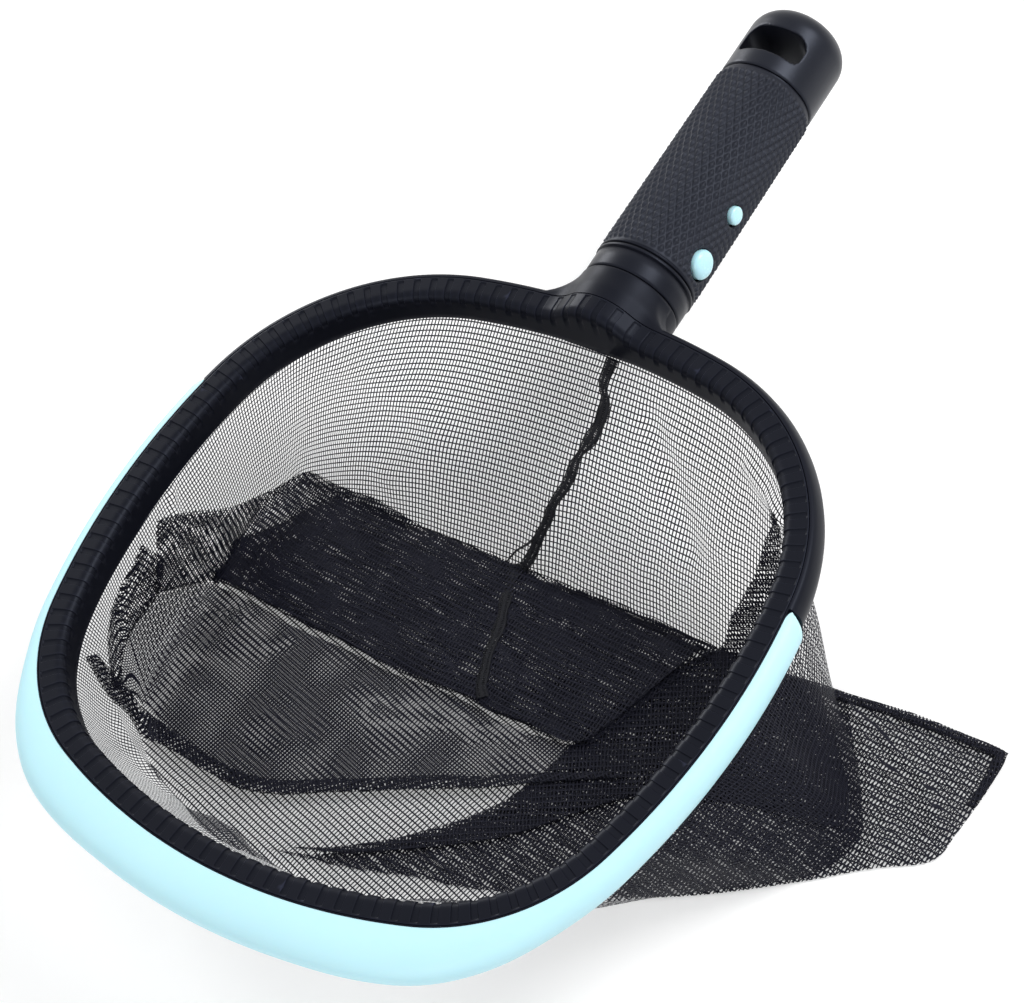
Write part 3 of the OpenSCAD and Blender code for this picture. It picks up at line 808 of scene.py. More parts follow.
def ring_section(hoop):
    """The snap ring's section, with close points where the notches end."""
    inner, shoulder = -hoop.ring_depth / MM, hoop.shoulder / MM
    section = [(-0.7, -2.6), (-0.7, -0.35), (-0.78, -0.1), (-1.0, 0)]
    section += [(u, 0) for u in (-1.15, -1.3, -1.45, -1.6, -1.75, -2.2, -3.5, -5.0)]
    for step in range(8):
        a = math.radians(90 + 90 * step / 7)
        section.append((inner + shoulder + shoulder * math.cos(a), -shoulder + shoulder * math.sin(a)))
    section += [(inner, z) for z in (-3.4, -3.8, -4.3, -6, -9, -11.2)]
    section += [(inner + 0.2, -11.5), (inner + 1.4, -11.5), (inner + 1.6, -11.2), (inner + 1.6, -2.6)]
    return np.array(section)


def outward(section):
    """The outward directions at the points of a closed section."""
    way = np.roll(section, -1, 0) - np.roll(section, 1, 0)
    normal = np.stack([-way[:, 1], way[:, 0]], -1)
    normal /= np.linalg.norm(normal, axis=1)[:, None]
    area = np.sum(section[:, 0] * np.roll(section[:, 1], -1) - np.roll(section[:, 0], -1) * section[:, 1])
    return normal if area < 0 else -normal


class SKIMMER_OT_snap_ring(bpy.types.Operator):
    """Make the notched ring that snaps into the hoop and holds the bag"""

    bl_idname = "skimmer.snap_ring"
    bl_label = "Snap Ring"

    def execute(self, context):
        """Builds the piece."""
        hoop, neck = settings(context, "hoop", "neck")
        outline = HoopOutline(hoop)
        # The notches are spaced along this line, and end just inside it.
        line = -1.3
        half = outline.runs(line)[-1]
        count = hoop.notch_count // 2
        pitch, wide, deep = half / count, hoop.notch_width / MM, hoop.notch_depth / MM
        # Rows of points for one notch: between two notches, beside its edges and at its middle.
        steps = [-0.5 * pitch]
        steps += [k * wide / 2 + e for k, e in ((-1, -0.28), (-1, -0.12), (-1, 0), (-1, 0.16), (0, 0))]
        steps += [wide / 2 + e for e in (-0.16, 0, 0.12, 0.28)]
        centres = (np.arange(count) + 0.5) * pitch
        distance = np.append((centres[:, None] + np.array(steps)).ravel(), half)
        beside = np.append(np.tile(np.abs(steps), count), pitch / 2)
        bearings = outline.bearing(distance, line)
        section = ring_section(hoop)
        normal = outward(section)
        u, z = section[:, 0], section[:, 1]
        across = wide / 2 - beside[:, None]
        inward = (line + 0.05) - u[None]
        corner = 0.45
        gap = np.minimum(across, inward)
        rounded = corner - np.hypot(np.maximum(corner - across, 0), np.maximum(corner - inward, 0))
        depth = deep * smooth_step(np.minimum(gap, rounded), -0.12, 0.2)
        depth *= 1 - smooth_step(-z, 3.3, 4.4)
        # Only the top and the inner wall carry notches.
        depth[:, (z < -2.4) & (u > -8.5)] = 0.0
        sections = section[None] - normal[None] * depth[..., None]

        def humps(rows):
            """Lifts the ring over the neck."""
            lift = saddle_height(rows[..., 0], hoop, neck) - hoop.top / MM
            near = rows[..., 1] > outline.rear[1] + 200
            share = np.clip((rows[..., 2] - hoop.top / MM + 8) / 5, 0, 1)
            rows[..., 2] += np.where(near, lift * share, 0.0)
            return rows

        rows = outline.swept(bearings, sections, hoop.top / MM, humps)
        form = Surface()
        form.patch(rows, wrap_rows=True, wrap_cols=True)
        # edge=8.0 paints a highlight along the notch edges, in place of the light that catches them.
        piece = form.build("snap_ring", [moulded_plastic("ring moulding", hoop.ring, 0.4, edge=8.0)], 45)
        place(piece, "net", "ring_plastic", "retaining_ring")
        return {"FINISHED"}


LIP_SHARE = (
    (-90, 1), (-80, 1.02), (-75, 1.1), (-70, 1.06), (-60, 0.79), (-52, 0.57), (-43, 0.25),
    (-34, -0.06), (-24, -0.16), (-15, -0.2), (-5, -0.22), (10, -0.24),
)
LIP_SECTION = (
    (0.0, 0.0), (0.12, 0.0), (0.3, -0.01), (0.5, -0.04), (0.68, -0.095), (0.82, -0.17), (0.92, -0.27),
    (0.98, -0.38), (1.0, -0.5), (0.985, -0.62), (0.94, -0.74), (0.86, -0.84), (0.74, -0.92),
    (0.6, -0.965), (0.4, -0.99), (0.2, -1.0), (0.0, -1.0),
)


class SKIMMER_OT_scraper_lip(bpy.types.Operator):
    """Make the soft lip round the front and sides of the hoop"""

    bl_idname = "skimmer.scraper_lip"
    bl_label = "Scraper Lip"

    def execute(self, context):
        """Builds the piece."""
        hoop, lip = settings(context, "hoop", "lip")
        outline = HoopOutline(hoop)
        end = math.degrees(lip.end_bearing)
        # Both ends of the lip are rounded over this length.
        nose = 4.0
        degree = math.radians(1) * outline.radii[2]
        bearings = [b for b in outline.evenly(2.2, 3.0) if b < end - nose / degree - 0.3]
        bearings += [end - nose * math.cos(math.radians(a)) / degree for a in np.linspace(0, 88, 14)]
        bearings = np.array(bearings)
        share = np.interp(bearings, [p[0] for p in LIP_SHARE], [p[1] for p in LIP_SHARE])
        mirrored = np.r_[share[6:0:-1], share, np.full(6, share[-1])]
        share = np.convolve(mirrored, np.hanning(15)[1:-1] / 7, "valid")
        side, front = lip.side_width / MM, lip.front_width / MM
        width = side + (front - side) * share
        left = (end - bearings) * degree
        pull = nose - np.sqrt(np.maximum(nose**2 - np.maximum(nose - left, 0) ** 2, 0.0))
        width = width - pull
        inner = np.minimum(pull * 0.35, 1.0)
        section = through(LIP_SECTION, 40)
        u = inner[:, None] + section[None, :, 0] * (width - inner)[:, None]
        droop = pull[:, None] * 0.25
        z = -0.2 + section[None, :, 1] * lip.height / MM
        z = np.where(section[None, :, 1] > -0.5, z - droop, z + droop)
        sections = np.stack([np.vstack([u, u[-1:]]), np.vstack([z, z[-1:]])], -1)
        # The rear row only parts the two halves, and is left out again.
        rows = outline.swept(np.append(bearings, 90.0), sections, hoop.top / MM)
        count = len(bearings)
        rows = np.concatenate([rows[count + 1:], rows[:count]])
        form = Surface()
        form.tube(rows, rows[0].mean(0), rows[-1].mean(0))
        piece = form.build("scraper_lip_soft", [soft_plastic("soft lip", lip.lip)], 55)
        place(piece, "net", "lip_soft", "scraper_lip")
        return {"FINISHED"}


# Sections in the groove, as (offset from the joint line, height from the top).
CORD_PLACE = (-4.0, -4.97)
CORD_RADIUS = 1.48
HEM_SECTION = ((-2.6, -3.0), (-6.2, -3.0), (-6.7, -3.1), (-6.8, -3.5), (-6.8, -8.0), (-6.8, -12.1))


class SKIMMER_OT_mouth_binding(bpy.types.Operator):
    """Make the cord in the groove and the bag's hem round it"""

    bl_idname = "skimmer.mouth_binding"
    bl_label = "Mouth Binding"

    def execute(self, context):
        """Builds the cord and the hem."""
        hoop, bag = settings(context, "hoop", "bag")
        outline = HoopOutline(hoop)
        bearings = outline.evenly(3.0)
        turn = np.arange(12) * TURN / 12
        cord = np.array(CORD_PLACE) + CORD_RADIUS * np.stack([np.cos(turn), np.sin(turn)], -1)
        form = Surface()
        form.patch(outline.swept(bearings, cord, hoop.top / MM), wrap_rows=True, wrap_cols=True)
        piece = form.build("groove_cord", [twisted_cord("groove cord", bag.binding)], 0)
        place(piece, "net", "groove_cord", "mouth_cord")
        rows = outline.swept(bearings, HEM_SECTION, hoop.top / MM)
        rows = np.concatenate([rows, rows[:1]])
        run, down = run_along(rows[:, 4]), run_along(HEM_SECTION)
        threads = np.stack(np.meshgrid(run, down, indexing="ij"), -1)
        form = Surface()
        form.patch(rows, threads=threads)
        cloth = net_for(bag, "hem net", 0.5)
        piece = form.build("bag_mouth_hem", [cloth], 0, outward=False)
        place(piece, "net", "bag_mesh", "mouth_hem")
        return {"FINISHED"}


# ---------------------------------------------------------------- grip


# The holes sit this much nearer to the seam than the buttons at rest, to clear their swing.
HOLE_SHIFT = 0.4


def holes(clip):
    """Place and diameter of the button hole and the pin hole."""
    return ((clip.button_place, clip.button_diameter), (clip.pin_place, clip.pin_diameter))


def side_cutters(neck, clip, extra):
    """Round cutters for the button and pin holes on both sides, through the grip's wall."""
    tools = []
    for side in (-1, 1):
        for at, wide in holes(clip):
            rows = turned([(wide / MM / 2 + extra, 12.0), (wide / MM / 2 + extra, 24.0)], 64)
            rows = np.stack([side * rows[..., 1], at / MM - HOLE_SHIFT + rows[..., 0], rows[..., 2]], -1)
            tools.append(cutter(on_clip(rows, neck.rise, clip.roll), "hole tool"))
    return tools


# The collar, its double ring and the step under the sleeve, as (radius, place).
COLLAR_PROFILE = (
    (15.3, -1.75), (16.9, -1.75), (17.3, -1.6), (17.55, -1.25), (17.6, -0.8), (17.62, 2.5), (17.6, 5.6),
    (17.35, 5.85), (17.28, 6.15), (17.55, 6.35), (17.95, 6.5), (18.05, 6.8), (18.0, 7.2), (17.85, 7.45),
    (17.25, 7.6), (17.15, 7.8), (17.25, 8.0), (17.85, 8.15), (18.0, 8.35), (18.0, 8.7), (17.7, 8.85),
    (17.0, 8.95), (16.95, 9.1),
)


class SKIMMER_OT_grip_collar(bpy.types.Operator):
    """Make the collar with its double ring, one moulding with the grip's core"""

    bl_idname = "skimmer.grip_collar"
    bl_label = "Grip Collar"

    def execute(self, context):
        """Builds the piece."""
        grip, neck, clip = settings(context, "grip", "neck", "clip")
        end = grip.grip_length / MM
        profile = [*COLLAR_PROFILE, (16.95, end - 0.1), (15.3, end - 0.1)]
        form = Surface()
        form.patch(on_grip(turned(profile, 160), neck.rise), wrap_rows=True, wrap_cols=True)
        plastic = moulded_plastic("collar moulding", grip.collar, 0.38, gloss=0.18)
        piece = form.build("grip_collar", [plastic], 45)
        cut(piece, side_cutters(neck, clip, 0.5))
        place(piece, "net", "hoop_plastic", "grip_core")
        return {"FINISHED"}


def scale_heights(across, along):
    """Height of the raised scales, from 0 to about 1, counted in scales across and rows along."""
    near = np.zeros_like(across)
    for shift in (0.0, 0.5):
        da = np.abs((across + shift + 0.5) % 1.0 - 0.5) / 0.5
        dy = np.abs((along / 2 + shift + 0.5) % 1.0 - 0.5) / 0.5
        near = np.maximum(near, 1.0 - da - dy)
    return soft_min(np.clip(near, 0.0, 1.0) * 1.12, np.full_like(near, 0.92), 0.16)


class SKIMMER_OT_grip_sleeve(bpy.types.Operator):
    """Make the sleeve with its raised scales, plain near the holes and at both ends"""

    bl_idname = "skimmer.grip_sleeve"
    bl_label = "Grip Sleeve"

    def execute(self, context):
        """Builds the piece."""
        grip, neck, clip = settings(context, "grip", "neck", "clip")
        start, end = grip.sleeve_start / MM, grip.grip_length / MM - 0.5
        fine = 8
        pitch = grip.point_pitch / MM
        columns = grip.points_round * fine
        count = round((end - start - 1.6) / pitch * fine)
        y = np.linspace(start + 0.8, end - 0.8, count)
        a = np.arange(columns) * TURN / columns
        place_y, place_a = np.meshgrid(y, a, indexing="ij")
        peaks = scale_heights(place_a / TURN * grip.points_round, place_y / pitch)
        quiet = smooth_step(np.minimum(place_y - start, end - place_y), 0.9, 1.8)
        mean_radius = 18.2
        for side in (0.0, math.pi):
            for at, wide in holes(clip):
                turn = (place_a - clip.roll - side + math.pi) % TURN - math.pi
                gap = np.hypot(turn * mean_radius, place_y - at / MM + HOLE_SHIFT) - wide / MM / 2
                quiet *= smooth_step(gap, 0.9, 1.7)
        taper = (grip.sleeve_radius_end - grip.sleeve_radius) / MM
        radius = grip.sleeve_radius / MM + taper * (place_y - start) / (end - start)
        high = grip.point_height / MM
        out = radius - high + high * peaks * quiet + 0.1 * (1 - quiet)
        grid = np.stack([out * np.cos(place_a), place_y, out * np.sin(place_a)], -1)
        r0, r1 = out[0].mean(), out[-1].mean()
        low = [(17.05, end - 0.05), (17.05, start), (r0 - 0.5, start)]
        low += [(r0 - 0.15, start + 0.1), (r0, start + 0.4)]
        top = [(r1, end - 0.4), (r1 - 0.15, end - 0.1), (r1 - 0.5, end)]
        rows = np.concatenate([turned(low, columns), grid, turned(top, columns)])
        form = Surface()
        form.patch(on_grip(rows, neck.rise), wrap_rows=True, wrap_cols=True)
        piece = form.build("sleeve_points", [soft_rubber("sleeve rubber", grip.sleeve)], 0)
        cut(piece, side_cutters(neck, clip, 0.75))
        place(piece, "net", "grip_rubber", "grip_sleeve")
        return {"FINISHED"}


def arc(centre, radius, start):
    """Twelve points on a quarter turn from a bearing in degrees."""
    a = np.radians(np.linspace(start, start + 90, 12))
    return np.array(centre) + radius * np.stack([np.cos(a), np.sin(a)], -1)


class SKIMMER_OT_end_cap(bpy.types.Operator):
    """Make the end cap with its hanging slot"""

    bl_idname = "skimmer.end_cap"
    bl_label = "End Cap"

    def execute(self, context):
        """Builds the piece."""
        grip, neck = settings(context, "grip", "neck")
        start, radius, corner = grip.grip_length / MM, grip.cap_radius / MM, grip.cap_round / MM
        end = start + grip.cap_length / MM
        profile = [(0.0, start + 3), (13.0, start + 3), (13.0, start - 3), (15.2, start - 3)]
        profile += [(15.2, start + 0.3), (radius - 0.6, start + 0.3)]
        profile += [(radius - 0.15, start + 0.45), (radius, start + 0.9)]
        for step in range(15):
            a = math.radians(88 * step / 14)
            profile.append((radius - corner + corner * math.cos(a), end - corner + corner * math.sin(a)))
        profile += [(5.0, end + 0.15), (0.0, end + 0.2)]
        form = Surface()
        first, last = (on_grip((0, profile[k][1], 0), neck.rise) for k in (0, -1))
        form.tube(on_grip(turned(profile[1:-1], 160), neck.rise), first, last)
        piece = form.build("cap_moulding", [], 0)
        # The slot's corners are rounder at its far side.
        half, low = grip.slot_width / MM / 2, start + grip.slot_start / MM
        high = low + grip.slot_length / MM
        far, near = 5.4, 2.4
        edge = np.concatenate([
            arc((half - far, high - far), far, 0), arc((far - half, high - far), far, 90),
            arc((near - half, low + near), near, 180), arc((half - near, low + near), near, 270),
        ])
        rows = np.stack([np.concatenate([edge, np.full((len(edge), 1), z)], 1) for z in (-25.0, 25.0)])
        cut(piece, [cutter(on_grip(rows, neck.rise), "slot tool")])
        # A remeshed skin, smoothed a little, rounds the slot's edges.
        skin = piece.modifiers.new("skin", "REMESH")
        skin.mode, skin.voxel_size = "VOXEL", 0.00036
        soft = piece.modifiers.new("soft", "SMOOTH")
        soft.factor, soft.iterations = 0.5, 6
        settle(piece)
        piece.data.shade_smooth()
        piece.data.materials.append(moulded_plastic("cap moulding", grip.cap, 0.36, gloss=0.28))
        place(piece, "net", "cap_plastic", "end_cap")
        return {"FINISHED"}


class SKIMMER_OT_spring_clip(bpy.types.Operator):
    """Give the spring clip and the spigot tube their metal"""

    bl_idname = "skimmer.spring_clip"
    bl_label = "Spring Clip And Spigot"

    def execute(self, context):
        """Assigns the metals."""
        clip = context.scene.skimmer_clip
        steel = drawn_metal("spring steel", clip.steel, (1.0, 0.04, 1.0))
        alloy = drawn_metal("drawn alloy", clip.alloy, (1.0, 0.03, 1.0))
        metals = dict.fromkeys(("clip_bow", "clip_leg_right", "clip_leg_left"), steel)
        metals["spigot_tube"] = alloy
        for name, metal in metals.items():
            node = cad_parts[name]
            node.data.materials.clear()
            node.data.materials.append(metal)
        return {"FINISHED"}


class SKIMMER_OT_buttons(bpy.types.Operator):
    """Make the press buttons and lock pins"""

    bl_idname = "skimmer.buttons"
    bl_label = "Buttons And Pins"

    def execute(self, context):
        """Builds the four pieces."""
        neck, clip = settings(context, "neck", "clip")
        plastic = polished_plastic("button plastic", clip.button)
        for kind, at, wide, reach, dome in (
            ("press_button", clip.button_place, clip.button_diameter, clip.button_reach, 2.2),
            ("lock_pin", clip.pin_place, clip.pin_diameter, clip.pin_reach, 1.2),
        ):
            r, top, foot = wide / MM / 2, reach / MM, clip.leg_place / MM + 0.6
            profile = [(0.6 * r, foot), (r - 0.02, foot), (r, foot + 0.1), (r, top - dome)]
            for a in np.linspace(8, 84, 12):
                c, s = math.cos(math.radians(a)), math.sin(math.radians(a))
                profile.append((r * (0.12 + 0.88 * c**0.7), top - dome + dome * s**1.1))
            rows = turned(profile, 64)
            for side, hand in ((1, "right"), (-1, "left")):
                set_out = np.stack([side * rows[..., 1], at / MM + rows[..., 0], rows[..., 2]], -1)
                form = Surface()
                first, last = (on_clip((side * x, at / MM, 0), neck.rise, clip.roll) for x in (foot, top))
                form.tube(on_clip(set_out, neck.rise, clip.roll), first, last)
                piece = form.build(f"{kind}_{hand}_dome", [plastic], 50)
                place(piece, f"clip_{hand}", "button_plastic", f"{kind}_{hand}")
        return {"FINISHED"}


# ---------------------------------------------------------------- bag

# Columns of the sack: bearing and side on the mouth, where the wall lands, where it meets the back line.
SACK = (
    (90, 1, (2, -78), (2, -77)), (80, 1, (50, -78), (50, -77)), (52, 1, (83, -77.6), (86, -77)),
    (27, 1, (110, -78.5), (108, -77)), (7, 1, (128, -98), (112, -77)), (-3, 1, (140, -117), (112, -77)),
    (-12, 1, (134, -134), (110, -77)), (-35, 1, (108, -152), (98, -77)), (-60, 1, (80, -170), (74, -77)),
    (-75, 1, (48, -187), (42, -77)), (-90, 1, (0, -206), (2, -77)), (-75, -1, (-52, -208), (-40, -77)),
    (-60, -1, (-83, -199), (-66, -77)), (-35, -1, (-103, -184), (-86, -77)),
    (-12, -1, (-110, -163), (-99, -77)), (-3, -1, (-112, -132), (-104, -77)),
    (7, -1, (-112, -98), (-108, -77)), (27, -1, (-108, -79), (-108, -77)),
    (52, -1, (-88, -77.6), (-88, -77)), (80, -1, (-46, -78), (-46, -77)),
)
# Offset of the bag's mouth from the hoop's joint line, and a point over it, to tell which side is in.
MOUTH_LINE = -8.05
INSIDE = np.array([0.0, -115.0, 60.0])
# The mouth lies this far under the hoop's top, and the sack's floor over the bag's lowest point.
MOUTH_DROP = 11.3
GROUND_GAP = 1.1
# Height of the net on the ground, and the turn of its threads there in degrees.
FLOOR_LEVEL = -60.8
FLOOR_TURN = -14.0
# Folded net: how much each layer is lifted, turned in degrees and moved against the one below.
LAYER_LIFT = 0.5
LAYER_TURN = 5.0
LAYER_SHIFT = 0.41
# Creases of the sack: points on it, how wide the crease is and how far it stands inward.
CREASES = (
    (((-85.1, -56.5, -12.8), (-69.8, -53.3, -17.5), (-55.5, -55.8, -24.0), (-50.7, -60.9, -29.2),
      (-56.2, -66.9, -36.0), (-67.5, -73.4, -44.2)), 7.0, 2.2),
    (((-81.2, -77.3, -54.4), (-65.4, -74.1, -43.4), (-53.2, -67.3, -36.7)), 1.3, 2.2),
    (((25.8, -34.3, -13.1), (32.5, -40.7, -17.2), (38.2, -45.4, -21.1), (41.8, -49.6, -24.6),
      (47.0, -55.8, -29.8), (51.4, -60.5, -34.3)), 4.5, -2.6),
    (((37.1, -39.0, -10.9), (49.3, -44.7, -13.3), (57.5, -53.2, -19.3), (61.6, -60.5, -26.6)), 7.0, 2.2),
    (((66.7, -43.5, -5.4), (70.2, -45.5, -6.2), (74.7, -48.6, -7.1), (79.7, -50.6, -7.5),
      (83.8, -53.3, -9.1)), 3.0, 5.0),
    (((-105.1, -126.1, -4.3), (-105.0, -127.2, -9.7), (-106.3, -128.6, -19.6),
      (-108.3, -130.3, -31.6)), 2.0, 2.0),
    (((5.1, -31.1, -5.0), (4.6, -44.3, -15.8), (-0.8, -55.8, -26.2), (-3.3, -67.6, -40.4),
      (-7.6, -76.6, -54.4)), 5.0, 2.2),
    (((-106.9, -137.0, -58.5), (-99.5, -136.7, -58.8), (-91.9, -135.2, -58.6)), 2.2, 2.6),
    (((-76.4, -143.3, -58.3), (-73.0, -140.3, -58.6), (-70.0, -135.7, -59.1)), 2.2, 2.6),
    (((-26.1, -145.2, -58.3), (-10.8, -141.3, -58.6), (2.6, -137.2, -59.1)), 4.0, 2.2),
    (((8.4, -139.9, -59.0), (16.4, -133.7, -58.5), (23.4, -132.8, -59.3)), 2.5, 2.4),
    (((-81.0, -199.1, -53.8), (-76.9, -198.6, -58.3), (-69.2, -198.6, -57.8),
      (-60.8, -195.5, -58.9)), 3.0, 1.2),
    (((-21.6, -212.6, -25.4), (-36.3, -204.1, -58.7), (-30.5, -204.0, -58.9),
      (-17.5, -200.6, -59.4)), 3.0, 1.2),
    (((-93.2, -192.4, -40.6), (-86.4, -196.7, -51.8), (-67.3, -202.4, -58.1),
      (-19.7, -215.3, -21.1)), 5.0, 1.6),
)


def mouth_loop(outline, count, offset, top):
    """Points round the mouth from the rear middle over the right side, with their distances."""
    half = outline.runs(offset)[-1]
    run = np.arange(count) * 2 * half / count
    along = np.where(run <= half, half - run, run - half)
    points = outline.at(outline.bearing(along, offset), np.array([offset]))[:, 0]
    points[:, 0] *= np.where(run <= half, 1, -1)
    return np.column_stack([points, np.full(count, top)]), run, half


def away_from(points, line):
    """Distance of every point from a line through the given ones."""
    line = np.asarray(line, float)
    nearest = np.full(points.shape[:-1], np.inf)
    for a, b in zip(line[:-1], line[1:]):
        way = b - a
        t = np.clip(((points - a) @ way) / (way @ way), 0.0, 1.0)
        nearest = np.minimum(nearest, np.linalg.norm(points - a - t[..., None] * way, axis=-1))
    return nearest


def facing_in(rows):
    """The direction into the bag at every point of a grid."""
    normal = np.cross(np.gradient(rows, axis=0), np.gradient(rows, axis=1))
    normal /= np.maximum(np.linalg.norm(normal, axis=-1), 1e-9)[..., None]
    side = np.sign(np.sum(normal * (INSIDE - rows), -1))
    return normal * np.where(side == 0, 1.0, side)[..., None]


def turned_threads(x, y, turn):
    """Thread coordinates of net that lies flat, turned by degrees."""
    c, s = math.cos(math.radians(turn)), math.sin(math.radians(turn))
    return np.stack([x * c + y * s, y * c - x * s], -1)


def landing(outline, run, half):
    """Where each column of the wall lands, and where it meets the back line over the floor."""
    before = np.r_[0.0, outline.runs(MOUTH_LINE)[:-1]]
    table = []
    for bearing, side, foot, back in SACK:
        k = int(np.clip(np.searchsorted(outline.ends, bearing), 0, 4))
        along = before[k] + math.radians(bearing - outline.starts[k]) * (outline.radii[k] + MOUTH_LINE)
        table.append((half - side * along, *foot, *back))
    table = np.array(sorted(table))
    keys = np.r_[table[-3:, 0] - 2 * half, table[:, 0], table[:3, 0] + 2 * half]
    kernel = np.hanning(25)[1:-1]
    kernel /= kernel.sum()
    places = []
    for values in table.T[1:]:
        line = np.interp(run, keys, np.r_[values[-3:], values, values[:3]])
        places.append(np.convolve(np.r_[line[-16:], line, line[:16]], kernel, "same")[16:-16])
    return np.column_stack(places[:2]), np.column_stack(places[2:])


def creased(rows, share=1.0):
    """A grid closed round, with the sack's creases pressed in by a share of their depth."""
    rows = np.concatenate([rows, rows[:, :1]], 1)
    push = np.zeros(rows.shape[:-1])
    for line, width, depth in CREASES:
        push += depth * np.exp(-((away_from(rows, line) / width) ** 2))
    return rows + facing_in(rows) * (push * share)[..., None]


def sack_rows(bag, hoop, outline):
    """Rows of the sack's walls and of its floor, each with their thread coordinates."""
    columns, down, over = 480, 56, 34
    floor = -bag.depth / MM + GROUND_GAP
    mouth, run, half = mouth_loop(outline, columns, MOUTH_LINE, hoop.top / MM - MOUTH_DROP)
    total = 2 * half
    foot, back = landing(outline, run, half)
    # The walls sag outward below the mouth, most at the rear, and have soft wrinkles.
    t = np.linspace(0, 1, down)[:, None]
    sag = np.sin(math.pi * t)
    rearward = np.clip(1 - np.minimum(run, total - run) / 130.0, 0, 1)
    lean = t + sag * (0.10 * smooth_step(rearward, 0, 0.6) + 0.03)
    wall = np.zeros((down, columns, 3))
    wall[..., :2] = mouth[None, :, :2] + (foot - mouth[:, :2])[None] * lean[..., None]
    wall[..., 2] = mouth[None, :, 2] + (floor - mouth[None, :, 2]) * t
    turn = run * TURN / total
    cx, cy = np.cos(turn) * total / TURN, np.sin(turn) * total / TURN
    soft = ripples(cx[None] + 0 * t, cy[None] + t * 26.0, 11, 14, 95.0, 30.0) * (bag.wrinkle / MM)
    closed = np.concatenate([wall, wall[:, :1]], 1)
    wall = wall + facing_in(closed)[:, :-1] * (soft * sag**0.8)[..., None]
    # The floor runs from where the walls land to the back line, a little raised in places.
    q = np.linspace(0, 1, over)[:, None]
    flat = np.zeros((over, columns, 3))
    flat[..., :2] = foot[None] + (back - foot)[None] * q[..., None]
    swell = np.abs(ripples(flat[..., 0], flat[..., 1], 3, 10, 70.0, 24.0))
    flat[..., 2] = floor + 0.8 * swell * np.sin(math.pi * np.clip(q * 1.2, 0, 1))
    # The creases fade out at the mouth, where the ring holds the net.
    wall, flat = creased(wall, np.minimum(1.0, t / 0.08)), creased(flat)
    flat[0] = wall[-1]
    steps = np.linalg.norm(np.diff(wall, axis=0), axis=2)
    deep = np.concatenate([np.zeros((1, columns + 1)), np.cumsum(steps, 0)])
    around = np.broadcast_to(np.r_[run, total], deep.shape)
    flat_threads = turned_threads(flat[..., 0], flat[..., 1], FLOOR_TURN)
    return wall, np.stack([around, deep], -1), flat, flat_threads


def cloth_area(rows):
    """Area of a grid of points, in square metres."""
    a, b, c, d = rows[:-1, :-1], rows[1:, :-1], rows[1:, 1:], rows[:-1, 1:]
    one = np.linalg.norm(np.cross(b - a, c - a), axis=-1).sum()
    two = np.linalg.norm(np.cross(c - a, d - a), axis=-1).sum()
    return float(one + two) / 2 * MM * MM


def net_for(bag, name, cover=0.0):
    """The bag's net, with the sizes that are set for it."""
    sizes = (bag.across_pitch, bag.across_thread, bag.along_pitch, bag.along_thread)
    return open_net(name, bag.net, *(s / MM for s in sizes), cover)


class SKIMMER_OT_bag_sack(bpy.types.Operator):
    """Make the net sack that hangs from the ring and lies on the floor"""

    bl_idname = "skimmer.bag_sack"
    bl_label = "Bag Sack"

    def execute(self, context):
        """Builds the piece."""
        hoop, bag = settings(context, "hoop", "bag")
        wall, wall_threads, flat, flat_threads = sack_rows(bag, hoop, HoopOutline(hoop))
        form = Surface()
        form.patch(wall, threads=wall_threads)
        form.patch(flat, threads=flat_threads + np.array([0.0, 260.0]))
        piece = form.build("bag_sack", [net_for(bag, "bag net")], 0, outward=False)
        place(piece, "net", "bag_mesh", "bag_body")
        area = cloth_area(wall) + cloth_area(flat)
        return {"FINISHED"}


class Ground:
    """Finds places on a piece that is already made, so that other layers can lie on it."""

    def __init__(self, name):
        mesh = bpy.data.objects[name].data
        points = np.empty(len(mesh.vertices) * 3)
        mesh.vertices.foreach_get("co", points)
        faces = [tuple(face.vertices) for face in mesh.polygons]
        self.tree = BVHTree.FromPolygons((points.reshape(-1, 3) / MM).tolist(), faces)

    def lay(self, line, height):
        """Moves points onto the piece and lifts them by their heights to the bag's inside."""
        laid = []
        for point, high in zip(line, height):
            place_on, normal, _, _ = self.tree.find_nearest(Vector(point))
            side = 1.0 if normal.dot(Vector(INSIDE) - place_on) > 0 else -1.0
            laid.append(place_on + normal * (side * high))
        return np.array(laid)


def unrolled(points, turn):
    """Thread coordinates of net that lies on the floor and climbs the left and rear walls."""
    rise = np.maximum(points[..., 2] - FLOOR_LEVEL, 0.0)
    left = smooth_step(-points[..., 0], 88, 106)
    return turned_threads(points[..., 0] - rise * left, points[..., 1] + rise * (1 - left), turn)


def eased(line, reach):
    """A line with its small kinks taken out, each point drawn to its neighbours' mean."""
    padded = np.pad(line, ((reach, reach), (0, 0)), mode="edge")
    return sum(padded[k:k + len(line)] for k in range(2 * reach + 1)) / (2 * reach + 1)


